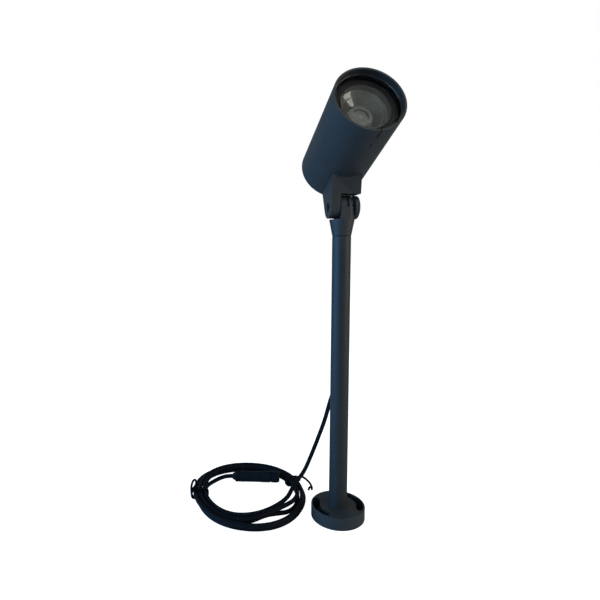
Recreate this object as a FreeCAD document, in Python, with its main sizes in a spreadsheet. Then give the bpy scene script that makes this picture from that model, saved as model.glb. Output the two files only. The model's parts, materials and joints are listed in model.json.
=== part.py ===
import FreeCAD, Part
import math
import os
import re

import Sketcher
from FreeCAD import Placement, Rotation, Vector

# Garden spotlight: a round screw-down base, a straight pole, a swivel post with a clamped knuckle,
# and a cylindrical LED head that tilts on it. A rubber lead leaves the back of the pole and lies
# coiled behind it, with its supply connector.
# Millimetres and degrees. X runs along the tilt axis, the head aims to -Y at rest, Z is up, and the
# origin is the centre of the base's underside.

SIZES = [
    ("base_diameter", 73.6, "base disc"),
    ("base_height", 17.0, ""),
    ("base_edge", 0.6, "edge rounding of the base disc"),
    ("socket_depth", 11.0, "blind socket for the pole"),
    ("slot_circle", 59.6, "pitch circle of the fixing slots"),
    ("slot_width", 5.2, "through slot for a screw shank"),
    ("groove_width", 9.6, "sunk groove and entry hole for a screw head"),
    ("groove_depth", 8.0, ""),
    ("slot_start", -33.0, "angle of the entry hole"),
    ("slot_sweep", 76.0, "angle from the entry hole to the slot's far end"),
    ("fit_gap", 0.05, "radial gap of a fixed fit"),
    ("running_gap", 0.1, "radial gap of a running fit"),
    ("free_gap", 0.3, "gap beside a moving face"),
    ("overshoot", 1.0, "cutters past the faces that they open"),
    ("grub_diameter", 5.0, "grub screws of the base and the swivel"),
    ("grub_length", 14.0, "base set screw"),
    ("grub_key", 2.5, "hexagon key across flats"),
    ("pole_diameter", 25.0, ""),
    ("pole_wall", 2.0, ""),
    ("pole_top", 387.5, "height of the pole's upper end"),
    ("exit_height", 196.8, "where the gland's axis meets the pole's axis"),
    ("exit_turn", 80.0, "gland direction, from +X"),
    ("exit_dip", 35.0, "gland direction, below the horizontal"),
    ("gland_thread", 9.6, "thread diameter through the pole wall"),
    ("gland_inside", 4.8, "thread inside the pole's surface"),
    ("gland_neck", 3.0, "bare thread outside the pole's surface"),
    ("gland_head", 12.6, "gland shoulder diameter"),
    ("gland_shoulder", 5.0, ""),
    ("gland_bevel", 1.5, "bevel from the shoulder to the taper"),
    ("gland_tip", 8.6, "gland diameter at its mouth"),
    ("gland_length", 26.0, "from the pole's surface to the mouth"),
    ("cord_diameter", 6.2, ""),
    ("bush_flange", 0.8, "bearing flange on the pole's end"),
    ("bush_wall", 1.4, ""),
    ("bush_length", 34.0, ""),
    ("spigot_length", 32.0, "post spigot inside the bush"),
    ("spigot_bore", 9.0, "cable way through the spigot"),
    ("cable_end", 4.0, "end of the pole's cable below the shelf"),
    ("swivel_groove", 3.0, "depth of the spigot's groove"),
    ("swivel_drop", 15.0, "lock screw below the pole's upper end"),
    ("cone_diameter", 33.6, "post at the shelf"),
    ("post_height", 38.5, "tilt axis above the pole's upper end"),
    ("pivot_height", "=pole_top + post_height", "tilt axis"),
    ("shelf_drop", 16.2, "shelf below the tilt axis"),
    ("ear_diameter", 31.0, "rounding of the post's ear"),
    ("ear_left", -6.2, ""),
    ("ear_right", 13.7, ""),
    ("clamp_slot_left", 2.0, "narrow saw slot in the ear"),
    ("clamp_slot_width", 2.5, ""),
    ("step_slot_left", 9.5, "wide step beside the clamp disc"),
    ("washer_width", 1.0, ""),
    ("washer_diameter", 24.0, ""),
    ("bolt_diameter", 8.0, ""),
    ("bolt_head", 11.6, ""),
    ("bolt_head_width", 6.0, ""),
    ("bolt_key", 5.0, "hexagon key across flats"),
    ("bolt_key_depth", 4.0, ""),
    ("bolt_sink", 1.2, "bolt head below the bracket's side"),
    ("disc_diameter", 31.0, "clamp disc"),
    ("disc_width", 6.0, ""),
    ("disc_bevel", 0.8, ""),
    ("disc_cover", 1.0, "closed end of the disc's thread"),
    ("bracket_width", 39.0, ""),
    ("tongue_width", 12.0, ""),
    ("tongue_diameter", 30.0, "round lower end of the tongue"),
    ("bracket_clear", 16.5, "bracket's underside above the tilt axis"),
    ("bracket_front", 21.0, "bracket's front face ahead of the tilt axis, at its top"),
    ("bracket_top", 50.0, "outline above the tilt axis, before the head is cut away"),
    ("bracket_lean", 24.0, "lean of the bracket's back edge"),
    ("head_diameter", 86.8, ""),
    ("head_length", 147.8, ""),
    ("head_wall", 2.5, ""),
    ("head_back", 4.0, "rear wall"),
    ("head_edge", 1.0, "rounding of the rear edge"),
    ("head_behind", 21.24, "rear face behind the tilt axis, along the head"),
    ("head_clear", 26.8, "housing above the tilt axis, square to the head"),
    ("head_above", "=head_diameter / 2 + head_clear", "the same for the head's axis"),
    ("head_turn", 67.2, "head's axis from the vertical"),
    ("ring_depth", 7.6, "snap ring's face below the rim"),
    ("ring_width", 1.4, ""),
    ("ring_reach", 1.0, "snap ring inside the housing's wall"),
    ("ring_inner", "=head_diameter - 2 * head_wall - 2 * ring_reach", "its inner diameter"),
    ("ring_groove", 0.7, "groove depth in the housing wall"),
    ("ring_notch", 128.0, "gap in the snap ring, from the top"),
    ("notch_width", 7.0, ""),
    ("glass_thick", 4.0, ""),
    ("glass_bevel", 0.4, ""),
    ("gasket_thick", 1.0, ""),
    ("gasket_width", 3.0, ""),
    ("mask_inner", 61.4, "opening of the black mask"),
    ("mask_thick", 1.2, ""),
    ("tube_depth", 22.9, "end of the light wall below the rim"),
    ("reflector_foot", 33.6, "reflector's foot below the rim"),
    ("reflector_wall", 1.2, ""),
    ("reflector_flange", 1.5, "flange under the mask"),
    ("emitter_diameter", 30.0, "stepped centre disc"),
    ("emitter_height", 3.0, ""),
    ("emitter_step", 1.0, "height of its outer step"),
    ("emitter_bevel", 2.6, "width of its outer step"),
    ("chip_diameter", 19.0, ""),
    ("chip_height", 1.8, ""),
    ("board_depth", 34.0, "face of the LED board below the rim"),
    ("board_thick", 1.6, ""),
    ("board_gap", 7.9, "between the board and the housing's wall"),
    ("board_diameter", "=head_diameter - 2 * head_wall - 2 * board_gap", ""),
    ("sink_thick", 9.0, "heat sink's plate"),
    ("sink_rim", 3.0, "wall of the heat sink's cup"),
    ("fin_length", 24.0, ""),
    ("fin_thick", 2.4, ""),
    ("fin_pitch", 8.4, ""),
    ("driver_length", 46.0, ""),
    ("driver_width", 52.0, ""),
    ("driver_height", 25.0, ""),
    ("block_length", 14.0, "terminal block"),
    ("block_width", 22.0, ""),
    ("block_height", 16.0, ""),
    ("block_drop", 4.0, "terminal block below the head's axis"),
    ("wire_diameter", 2.0, "LED wires"),
    ("wire_way", 3.0, "their holes through the heat sink"),
    ("screw_diameter", 4.0, "bracket screws"),
    ("screw_head", 7.0, ""),
    ("screw_head_width", 2.6, ""),
    ("seat_rise", 1.4, "flat seat of the bracket screws, over the curve of the wall"),
    ("screw_seat", "=head_diameter / 2 - head_wall - seat_rise", "the seat from the head's axis"),
    ("screw_length", 11.0, ""),
    ("screw_spacing", 22.0, "bracket screws, across the bracket"),
    ("screw_place", 38.0, "bracket screws, from the head's rear face"),
    ("wire_place", 35.0, "wire hole, from the head's rear face"),
    ("wire_hole", 9.0, ""),
    ("grommet_bore", 5.0, ""),
    ("grommet_length", 9.0, ""),
    ("grommet_flange", 1.6, "width and thickness of the flange"),
    ("grommet_rise", 0.7, "flange over the curve of the wall"),
    ("grommet_face", "=grommet_rise + grommet_flange", "the flange's inner face from the wall"),
    ("grommet_start", "=head_diameter / 2 - head_wall - grommet_face", "and from the head's axis"),
    ("lead_diameter", 4.6, "lamp lead"),
    ("lead_reach", 10.5, "first bend of the lamp lead, inside the housing's outside"),
    ("lead_inside", "=head_diameter / 2 - lead_reach", "the bend from the head's axis"),
    ("lead_stub", 3.5, "cut end of the lamp lead, outside the housing"),
    ("lead_outside", "=head_diameter / 2 + lead_stub", "the cut end from the head's axis"),
    ("lead_drop", 29.0, "second bend of the lamp lead, from the head's axis"),
    ("pin_depth", 26.8, "insert lock screw below the rim"),
    ("pin_diameter", 3.0, ""),
    ("pin_inside", 1.5, "its tip in the heat sink"),
    ("pin_outside", 1.0, "its head below the housing's outside"),
    ("pin_key", 1.5, "diameter of its key hole"),
    ("pin_turn", 173.0, "drain slit and lock screw, from the top"),
    ("slit_length", 14.0, "drain slit from the rim"),
    ("slit_width", 1.5, ""),
    ("coil_start", 61.5, "innermost turn of the upper layer, half width at the cord's centre"),
    ("coil_outer", 79.9, "outermost turn, half width at the cord's centre"),
    ("coil_stretch", 1.105, "depth of the coil over its width"),
    ("layer_gap", 0.6, "between the two layers"),
    ("coil_layer", "=cord_diameter + layer_gap", "height from layer to layer"),
    ("coil_lift", 1.1, "lowest turn above the ground"),
    ("coil_bulge", 1.0, "outward step of the half turn between the layers"),
    ("tie_width", 3.6, ""),
    ("tie_thick", 0.8, ""),
    ("connector_diameter", 16.5, ""),
    ("connector_body", 46.0, ""),
    ("connector_nut", 15.0, "nut on the cord's side"),
    ("connector_cap", 13.0, "end cap"),
    ("connector_groove", 1.2, "width of the dark groove beside the end cap"),
    ("connector_neck", 1.0, "depth of that groove"),
    ("connector_bevel", 1.2, ""),
    ("nut_wall", 1.6, "end face of the nut around the cord"),
    ("nut_taper", 4.5, "length of the nut's taper"),
    ("nut_edge", 1.0, ""),
]
BEND_SHARE = 0.45       # share of a bend's shorter run that its rounding takes
CABLE_SHARE = 0.25      # the same for the cable in the pole, which leaves the gland straight
STEP = 3.0              # distance between the points of a path that is measured
JOINED_STEPS = 5        # such points of the lead that are left out, because they meet the coil
FIRST_ROW = 2           # row of the first size in the sheet

# The free lead, from the gland's mouth down to the coil, as points chosen by hand. The points next
# to its two ends are worked out below, so that it leaves them straight.
LEAD_POINTS = [
    (7.6, 51.5, 156.3),
    (6.0, 57.8, 144.1),
    (3.7, 62.1, 128.6),
    (-0.3, 65.0, 110.1),
    (-7.2, 67.6, 88.8),
    (-13.6, 71.3, 67.6),
    (-18.9, 76.4, 49.3),
    (-24.3, 75.7, 37.1),
    (-31.1, 72.2, 28.0),
    (-39.8, 67.0, 21.9),
    (-47.6, 60.1, 18.4),
    (-53.2, 50.6, 14.5),
    (-55.9, 38.3, 11.7),
]
# The coil's tail, from its inner end to the connector.
TAIL_POINTS = [
    (-177.7, 90.6, 4.2),
    (-173.5, 98.7, 4.2),
    (-167.1, 105.6, 4.4),
    (-158.9, 110.4, 5.5),
    (-149.7, 112.6, 7.1),
]
COIL_CENTRE = Vector(-114.0, 65.7, 0.0)
COIL_FIRST = -45.0      # angle of the coil's first point, from +X
COIL_SPIRAL = 2.25      # turns of the upper layer
COIL_DROP = 0.5         # the half turn between the layers
COIL_TURNS = 4.386      # all turns, clockwise from above
COIL_END_RUN = 6.5      # straight ends of the coil, the lead and the tail
LEAD_START_RUN = 12.0
LEAD_END_RUN = 9.0
TAIL_START_RUN = 4.6
TAIL_END_RUN = 6.1
CONNECTOR_CENTRE = Vector(-98.0, 103.5, 0.0)
CONNECTOR_TURN = -11.4
TIE_ANGLES = {"tie_left": 178.0, "tie_right": 16.0}

doc = FreeCAD.newDocument("garden_spotlight")
sheet = doc.addObject("Spreadsheet::Sheet", "Sizes")
for row, (alias, number, note) in enumerate(SIZES, start=FIRST_ROW):
    sheet.set(f"A{row}", note)
    sheet.set(f"B{row}", str(number))
    sheet.setAlias(f"B{row}", alias)
doc.recompute()
ALIASES = {alias for alias, number, note in SIZES}
nodes = []


def bound(text):
    """Return an expression on the sheet's cells for a text that uses their aliases."""
    return re.sub(r"[a-z_]+", lambda word: f"Sizes.{word[0]}" if word[0] in ALIASES else word[0], text)


def value(text):
    """Return the number that an expression has now."""
    return float(sheet.evalExpression(bound(text)))


def bind(feature, **properties):
    """Bind each named property of a feature to an expression."""
    for name, text in properties.items():
        feature.setExpression(name.replace("__", "."), bound(text))


def node(feature, label):
    """Keep a feature as a sub-part under its own label."""
    feature.Label = label
    nodes.append(feature)
    return feature


def move(feature, place=("0", "0", "0"), rotation=Rotation()):
    """Turn a feature and bind its place."""
    feature.Placement = Placement(Vector(*(value(text) for text in place)), rotation)
    for axis, text in zip("xyz", place):
        if text != "0":
            feature.setExpression(f"Placement.Base.{axis}", bound(text))
    return feature


ALONG = {
    "Z": Rotation(),
    "X": Rotation(Vector(0, 1, 0), 90),
    "Y": Rotation(Vector(1, 0, 0), -90),
}


def cylinder(name, diameter, length, place=("0", "0", "0"), axis="Z"):
    """A cylinder that starts at a place and runs along an axis."""
    feature = doc.addObject("Part::Cylinder", name)
    bind(feature, Radius=f"({diameter}) / 2", Height=length)
    return move(feature, place, ALONG[axis])


def box(name, size, place=("0", "0", "0")):
    """A box with its lowest corner at a place."""
    feature = doc.addObject("Part::Box", name)
    bind(feature, Length=size[0], Width=size[1], Height=size[2])
    return move(feature, place)


def hexagon(name, across, length, place, axis):
    """A hexagonal prism of a size across its flats."""
    feature = doc.addObject("Part::Prism", name)
    feature.Polygon = 6
    bind(feature, Circumradius=f"({across}) / 2 / cos(30)", Height=length)
    return move(feature, place, ALONG[axis])


def fuse(name, *parts):
    """Join features that touch or overlap."""
    feature = doc.addObject("Part::MultiFuse", name)
    feature.Shapes = list(parts)
    feature.Refine = True
    return feature


def cut(name, base, *tools):
    """Cut tools out of a base."""
    feature = doc.addObject("Part::Cut", name)
    feature.Base = base
    feature.Tool = tools[0] if len(tools) == 1 else group(name + "_tools", *tools)
    return feature


def group(name, *parts):
    """Keep separate solids together."""
    feature = doc.addObject("Part::Compound", name)
    feature.Links = list(parts)
    return feature


def origin_plane(body, role):
    """Return one of a body's own origin planes."""
    return next(plane for plane in body.Origin.OriginFeatures if plane.Role == role)


def outline(body, name, role, points):
    """A closed outline of straight lines in a body's plane, each corner bound to the sheet."""
    sketch = body.newObject("Sketcher::SketchObject", name)
    sketch.AttachmentSupport = [(origin_plane(body, role), "")]
    sketch.MapMode = "FlatFace"
    corners = [Vector(value(across), value(up), 0) for across, up in points]
    count = len(corners)
    for index in range(count):
        sketch.addGeometry(Part.LineSegment(corners[index], corners[(index + 1) % count]), False)
    for index in range(count):
        sketch.addConstraint(Sketcher.Constraint("Coincident", index, 2, (index + 1) % count, 1))
    for index, (across, up) in enumerate(points):
        corner = corners[index]
        for kind, text, number in (("DistanceX", across, corner.x), ("DistanceY", up, corner.y)):
            rule = sketch.addConstraint(Sketcher.Constraint(kind, -1, 1, index, 1, number))
            if text != "0":
                sketch.setExpression(f"Constraints[{rule}]", bound(text))
    return sketch


def turned(name, points):
    """A body turned about its own Z; its outline is a list of radius and height."""
    body = doc.addObject("PartDesign::Body", name)
    sketch = outline(body, name + "_outline", "XZ_Plane", points)
    turn = body.newObject("PartDesign::Revolution", name + "_turn")
    turn.Profile = sketch
    turn.ReferenceAxis = (sketch, ["V_Axis"])
    turn.Angle = 360
    body.Tip = turn
    return body


def ring(name, outer, inner, low, high):
    """A flat ring or sleeve between two diameters and two heights."""
    return turned(name, [
        (f"({inner}) / 2", low),
        (f"({outer}) / 2", low),
        (f"({outer}) / 2", high),
        (f"({inner}) / 2", high),
    ])


def bends(points, share=BEND_SHARE):
    """Return a rounded path through points and the radius of each bend."""
    runs = [(end - start).Length for start, end in zip(points, points[1:])]
    edges = []
    radii = []
    here = points[0]
    for index in range(1, len(points) - 1):
        corner = points[index]
        before = (corner - points[index - 1]).normalize()
        after = (points[index + 1] - corner).normalize()
        half = before.getAngle(after) / 2
        reach = share * min(runs[index - 1], runs[index])
        radii.append(reach / math.tan(half))
        first = corner - before * reach
        last = corner + after * reach
        inward = (after - before).normalize()
        middle = corner + inward * (radii[-1] * (1 / math.cos(half) - 1))
        edges.append(Part.LineSegment(here, first).toShape())
        edges.append(Part.Arc(first, middle, last).toShape())
        here = last
    edges.append(Part.LineSegment(here, points[-1]).toShape())
    return Part.Wire(edges), radii


def tube(label, points, diameter, share=BEND_SHARE):
    """A round tube along straight runs and tangent arcs, checked against its length."""
    path, radii = bends(points, share)
    start = (points[1] - points[0]).normalize()
    section = Part.Wire(Part.Circle(points[0], start, diameter / 2).toShape())
    solid = path.makePipeShell([section], True, False)
    expected = math.pi * diameter**2 / 4 * path.Length
    if abs(solid.Volume / expected - 1) > 0.01:
        raise RuntimeError(f"{label} has volume {solid.Volume:.0f}, not {expected:.0f}")
    feature = doc.addObject("Part::Feature", label + "_solid")
    feature.Shape = solid
    print(f"{label}: length {path.Length:.1f}, bend radii", " ".join(f"{radius:.1f}" for radius in radii))
    return node(feature, label)


# --- Base -----------------------------------------------------------------------------------------

GRUB_HOLE = "grub_diameter + 2 * fit_gap"


def half_slot(name, turn, width, low, high):
    """One curved slot along the pitch circle, with round ends, from the entry hole."""
    sector = []
    height = f"{high} - ({low})"
    first = Rotation(Vector(0, 0, 1), value("slot_start") + turn)
    for side, sign in (("outer", "+"), ("inner", "-")):
        solid = doc.addObject("Part::Cylinder", f"{name}_{side}")
        bind(solid, Radius=f"(slot_circle {sign} {width}) / 2", Height=height, Angle="slot_sweep")
        solid.Placement = Placement(Vector(0, 0, value(low)), first)
        bind(solid, Placement__Base__z=low, Placement__Rotation__Angle=f"slot_start + {turn} + 360")
        sector.append(solid)
    parts = [cut(name + "_sector", *sector)]
    for end, angle in (("entry", "slot_start"), ("far", "slot_start + slot_sweep")):
        parts.append(cylinder(f"{name}_{end}", width, height, on_slot_circle(f"{angle} + {turn}", low)))
    return fuse(name, *parts)


def on_slot_circle(angle, height):
    """Return the place at an angle on the slots' pitch circle."""
    return (f"slot_circle / 2 * cos({angle})", f"slot_circle / 2 * sin({angle})", height)


def build_base():
    blank = turned("base_blank", [
        ("0", "0"),
        ("base_diameter / 2 - base_edge", "0"),
        ("base_diameter / 2", "base_edge"),
        ("base_diameter / 2", "base_height - base_edge"),
        ("base_diameter / 2 - base_edge", "base_height"),
        ("pole_diameter / 2 + fit_gap", "base_height"),
        ("pole_diameter / 2 + fit_gap", "base_height - socket_depth"),
        ("0", "base_height - socket_depth"),
    ])
    tools = []
    for side, turn in (("right", 0), ("left", 180)):
        floor = "base_height - groove_depth"
        top = "base_height + overshoot"
        tools.append(half_slot(f"groove_{side}", turn, "groove_width", floor, top))
        tools.append(half_slot(f"slot_{side}", turn, "slot_width", "-overshoot", "base_height"))
        entry = on_slot_circle(f"slot_start + {turn}", "-overshoot")
        tools.append(cylinder(f"entry_{side}", "groove_width", "base_height + 2 * overshoot", entry))
    height = "base_height - socket_depth / 2"
    centre = ("0", "0", height)
    tools.append(cylinder("grub_hole", GRUB_HOLE, "base_diameter / 2", centre, "Y"))
    node(cut("base_plate_cut", blank, *tools), "base_plate")
    grub_screw("base_set_screw", "pole_diameter / 2", height, "grub_length")


def grub_screw(label, tip, height, length):
    """A grub screw along +Y with a hexagon socket at its outer end."""
    shank = cylinder(label + "_shank", "grub_diameter", length, ("0", tip, height), "Y")
    socket = ("0", f"{tip} + {length} - grub_key", height)
    key = hexagon(label + "_key", "grub_key", "grub_key", socket, "Y")
    node(cut(label + "_cut", shank, key), label)


# --- Pole and its cable exit ----------------------------------------------------------------------

exit_direction = Vector(
    math.cos(math.radians(value("exit_dip"))) * math.cos(math.radians(value("exit_turn"))),
    math.cos(math.radians(value("exit_dip"))) * math.sin(math.radians(value("exit_turn"))),
    -math.sin(math.radians(value("exit_dip"))),
)
exit_rotation = Rotation(Vector(0, 0, 1), exit_direction)
exit_point = Vector(0, 0, value("exit_height"))
surface_reach = value("pole_diameter / 2 / cos(exit_dip)")
mouth = exit_point + exit_direction * (surface_reach + value("gland_length"))


def along_exit(feature, reach):
    """Place a feature made along Z on the gland's axis, at a reach from the pole's axis."""
    feature.Placement = Placement(exit_point + exit_direction * value(reach), exit_rotation)
    return feature


POLE_BORE = "pole_diameter - 2 * pole_wall"
POLE_FOOT = "base_height - socket_depth"


def build_pole():
    wall = ring("pole_blank", "pole_diameter", POLE_BORE, "0", f"pole_top - ({POLE_FOOT})")
    move(wall, ("0", "0", POLE_FOOT))
    hole = along_exit(cylinder("exit_hole", "gland_thread + 2 * fit_gap", "pole_diameter"), "0")
    place = ("0", "0", "pole_top - swivel_drop")
    lock = cylinder("lock_hole", GRUB_HOLE, "pole_diameter", place, "Y")
    node(cut("pole_cut", wall, hole, lock), "pole_tube")

    collar = "gland_inside + gland_neck"
    gland = turned("gland_blank", [
        ("cord_diameter / 2 + fit_gap", "0"),
        ("gland_thread / 2", "0"),
        ("gland_thread / 2", collar),
        ("gland_head / 2", collar),
        ("gland_head / 2", f"{collar} + gland_shoulder"),
        ("gland_head / 2 - gland_bevel", f"{collar} + gland_shoulder + gland_bevel"),
        ("gland_tip / 2", "gland_inside + gland_length"),
        ("cord_diameter / 2 + fit_gap", "gland_inside + gland_length"),
    ])
    along_exit(gland, "pole_diameter / 2 / cos(exit_dip) - gland_inside")
    skin = ring("gland_skin", "pole_diameter + fit_gap", POLE_BORE, "0", "pole_diameter * 2")
    move(skin, ("0", "0", "exit_height - pole_diameter * 2"))
    thread = along_exit(cylinder("gland_thread_way", "gland_thread", "pole_diameter"), "0")
    node(cut("gland_cut", gland, cut("gland_wall_left", skin, thread)), "cable_gland")

    top = Vector(0, 0, value("pivot_height - shelf_drop - cable_end"))
    tube("pole_cable", [mouth, exit_point, top], value("cord_diameter"), CABLE_SHARE)


# --- Swivel post ----------------------------------------------------------------------------------

SPIGOT = f"(({POLE_BORE}) / 2 - fit_gap - bush_wall - running_gap)"


def build_post():
    outer = f"({POLE_BORE}) / 2 - fit_gap"
    flange = "pole_diameter / 2 - free_gap"
    bush = turned("bush_blank", [
        (f"{outer} - bush_wall", "0"),
        (outer, "0"),
        (outer, "bush_length"),
        (flange, "bush_length"),
        (flange, "bush_length + bush_flange"),
        (f"{outer} - bush_wall", "bush_length + bush_flange"),
    ])
    move(bush, ("0", "0", "pole_top - bush_length"))
    place = ("0", "0", "pole_top - swivel_drop")
    hole = cylinder("bush_hole", GRUB_HOLE, "pole_diameter", place, "Y")
    node(cut("bush_cut", bush, hole), "swivel_bush")

    seam = "spigot_length + bush_flange + running_gap"
    shelf = "pivot_height - shelf_drop - pole_top + spigot_length"
    groove_low = "spigot_length - swivel_drop - grub_diameter / 2 - free_gap"
    groove_high = "spigot_length - swivel_drop + grub_diameter / 2 + free_gap"
    cone = turned("cone_blank", [
        ("spigot_bore / 2", "0"),
        (SPIGOT, "0"),
        (SPIGOT, groove_low),
        (f"{SPIGOT} - swivel_groove", groove_low),
        (f"{SPIGOT} - swivel_groove", groove_high),
        (SPIGOT, groove_high),
        (SPIGOT, seam),
        ("pole_diameter / 2", seam),
        ("cone_diameter / 2", shelf),
        ("spigot_bore / 2", shelf),
    ])
    move(cone, ("0", "0", "pole_top - spigot_length"))
    foot = "pivot_height - shelf_drop"
    width = "ear_right - ear_left"
    corner = ("ear_left", "-ear_diameter / 2", foot)
    ear = fuse(
        "ear_blank",
        cylinder("ear_round", "ear_diameter", width, ("ear_left", "0", "pivot_height"), "X"),
        box("ear_foot", (width, "ear_diameter", "shelf_drop"), corner),
    )
    trimmed = doc.addObject("Part::Common", "ear_trimmed")
    trimmed.Base = ear
    trimmed.Tool = cylinder("ear_limit", "cone_diameter", "shelf_drop + ear_diameter", ("0", "0", foot))
    bore = cylinder(
        "post_bore",
        "bolt_diameter + 2 * running_gap",
        "cone_diameter * 2",
        ("-cone_diameter", "0", "pivot_height"),
        "X",
    )
    slot = box(
        "clamp_slot",
        ("clamp_slot_width", "cone_diameter", "ear_diameter"),
        ("clamp_slot_left", "-cone_diameter / 2", "pivot_height"),
    )
    step = box(
        "ear_step",
        ("cone_diameter", "cone_diameter", "ear_diameter"),
        ("step_slot_left", "-cone_diameter / 2", "pivot_height"),
    )
    node(cut("post_cut", fuse("post_body", cone, trimmed), bore, slot, step), "knuckle_post")
    tip = f"{SPIGOT} - swivel_groove + free_gap"
    grub_screw(
        "swivel_lock_screw", tip, "pole_top - swivel_drop", f"(pole_diameter / 2 - free_gap - ({tip}))"
    )


# --- Knuckle on the head's side -------------------------------------------------------------------

def build_bracket():
    body = doc.addObject("PartDesign::Body", "bracket_blank")
    sketch = body.newObject("Sketcher::SketchObject", "bracket_side")
    sketch.AttachmentSupport = [(origin_plane(body, "YZ_Plane"), "")]
    sketch.MapMode = "FlatFace"
    round_end = value("tongue_diameter / 2")
    top = value("bracket_top")
    front = value("bracket_front")
    lean = math.radians(value("bracket_lean"))
    slope = math.asin(round_end / math.hypot(front, top)) + math.atan2(-front, top) + math.pi
    front_touch = Vector(round_end * math.cos(slope), round_end * math.sin(slope), 0)
    back_touch = Vector(round_end * math.cos(lean), -round_end * math.sin(lean), 0)
    front_top = Vector(-front, top, 0)
    along_back = Vector(math.sin(lean), math.cos(lean), 0)
    back_top = back_touch + along_back * ((top - back_touch.y) / math.cos(lean))
    lines = [(back_touch, back_top), (back_top, front_top), (front_top, front_touch)]
    for start, end in lines:
        sketch.addGeometry(Part.LineSegment(start, end), False)
    circle = Part.Circle(Vector(0, 0, 0), Vector(0, 0, 1), round_end)
    sketch.addGeometry(Part.ArcOfCircle(circle, slope, 2 * math.pi - lean), False)
    rule = Sketcher.Constraint
    sketch.addConstraint(rule("Coincident", 3, 3, -1, 1))
    sketch.addConstraint(rule("Coincident", 0, 2, 1, 1))
    sketch.addConstraint(rule("Coincident", 1, 2, 2, 1))
    sketch.addConstraint(rule("Tangent", 2, 2, 3, 1))
    sketch.addConstraint(rule("Tangent", 3, 2, 0, 1))
    sketch.addConstraint(rule("Horizontal", 1))
    sizes = [
        (rule("Radius", 3, round_end), "tongue_diameter / 2"),
        (rule("DistanceY", -1, 1, 1, 2, top), "bracket_top"),
        (rule("DistanceX", 1, 2, -1, 1, front), "bracket_front"),
        (rule("Angle", 0, 1, -2, 1, lean), "bracket_lean"),
    ]
    for constraint, text in sizes:
        index = sketch.addConstraint(constraint)
        sketch.setExpression(f"Constraints[{index}]", bound(text))
    pad = body.newObject("PartDesign::Pad", "bracket_pad")
    pad.Profile = sketch
    bind(pad, Length="bracket_width")
    body.Tip = pad
    move(body, ("-bracket_width / 2", "0", "pivot_height"))

    side = "-bracket_width / 2"
    washer_left = f"{side} + tongue_width"
    gap = box(
        "knuckle_gap",
        ("bracket_width", "bracket_top * 4", "bracket_clear + tongue_diameter"),
        (washer_left, "-bracket_top * 2", "pivot_height - tongue_diameter"),
    )
    axis_left = (side, "0", "pivot_height")
    sink = cylinder(
        "bolt_counterbore", "bolt_head + 2 * fit_gap", "bolt_sink + bolt_head_width", axis_left, "X"
    )
    tools = [
        gap,
        head_cylinder("head_seat", "head_diameter + fit_gap", "-head_length", "head_length * 3"),
        cylinder("bolt_way", "bolt_diameter", "bracket_width", axis_left, "X"),
        sink,
    ]
    for index in (-1, 1):
        name = f"bracket_tap_{index + 2}"
        across = f"{index} * screw_spacing / 2"
        tools.append(
            head_radial(name, "screw_diameter", across, "screw_place", "screw_seat", "screw_length")
        )
    tools.append(head_radial("bracket_wire_way", "wire_hole", "0", "wire_place", "0", "head_diameter"))
    node(cut("bracket_cut", body, *tools), "head_bracket")

    start = (f"{side} + bolt_sink", "0", "pivot_height")
    length = "bracket_width / 2 - bolt_sink + ear_right + free_gap + disc_width - disc_cover"
    head = cylinder("bolt_head_blank", "bolt_head", "bolt_head_width", start, "X")
    shank = cylinder("bolt_shank", "bolt_diameter", length, start, "X")
    key = hexagon("bolt_key_way", "bolt_key", "bolt_key_depth", start, "X")
    node(cut("bolt_cut", fuse("bolt_blank", head, shank), key), "pivot_bolt")

    place = (washer_left, "0", "pivot_height")
    washer = cylinder("washer_blank", "washer_diameter", "washer_width", place, "X")
    hole = cylinder("washer_hole", "bolt_diameter + 2 * fit_gap", "washer_width", place, "X")
    node(cut("washer_cut", washer, hole), "friction_washer")

    place = ("ear_right + free_gap", "0", "pivot_height")
    disc = cylinder("disc_blank", "disc_diameter", "disc_width", place, "X")
    edge = doc.addObject("Part::Chamfer", "disc_edge")
    edge.Base = disc
    edge.Edges = [(number, value("disc_bevel"), value("disc_bevel")) for number in circle_edges(disc)]
    thread = cylinder("disc_thread", "bolt_diameter", "disc_width - disc_cover", place, "X")
    node(cut("disc_cut", edge, thread), "clamp_disc")


def circle_edges(feature):
    """Return the numbers of a cylinder's two round edges."""
    doc.recompute()
    return [
        number
        for number, edge in enumerate(feature.Shape.Edges, start=1)
        if isinstance(edge.Curve, Part.Circle)
    ]


# --- Head -----------------------------------------------------------------------------------------
# Every piece of the head is made about its own axis, with Z = 0 at the rear face, and turned into
# place at the end.

head_rotation = Rotation(Vector(1, 0, 0), value("head_turn"))
HEAD_PLACE = (
    "0",
    "head_behind * sin(head_turn) + head_above * cos(head_turn)",
    "pivot_height - head_behind * cos(head_turn) + head_above * sin(head_turn)",
)


def on_head(feature):
    """Turn a feature made about the head's own axis into its place on the tilted head."""
    return move(feature, HEAD_PLACE, head_rotation)


def head_point(across, along, outward):
    """A point of the head: across is +X, along runs from the rear face, outward is to the top."""
    own = Vector(value(across), value(outward), value(along))
    base = Vector(*(value(text) for text in HEAD_PLACE))
    return base + head_rotation.multVec(own)


def head_cylinder(name, diameter, start, length):
    """A cylinder about the head's axis."""
    feature = doc.addObject("Part::Cylinder", name)
    bind(feature, Radius=f"({diameter}) / 2", Height=length)
    feature.Placement = Placement(head_point("0", start, "0"), head_rotation)
    return feature


def head_radial(name, diameter, across, along, start, length):
    """A cylinder square to the head's axis, that points down from the axis."""
    feature = doc.addObject("Part::Cylinder", name)
    bind(feature, Radius=f"({diameter}) / 2", Height=length)
    down = head_rotation.multiply(Rotation(Vector(1, 0, 0), 90))
    feature.Placement = Placement(head_point(across, along, f"-({start})"), down)
    return feature


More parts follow.
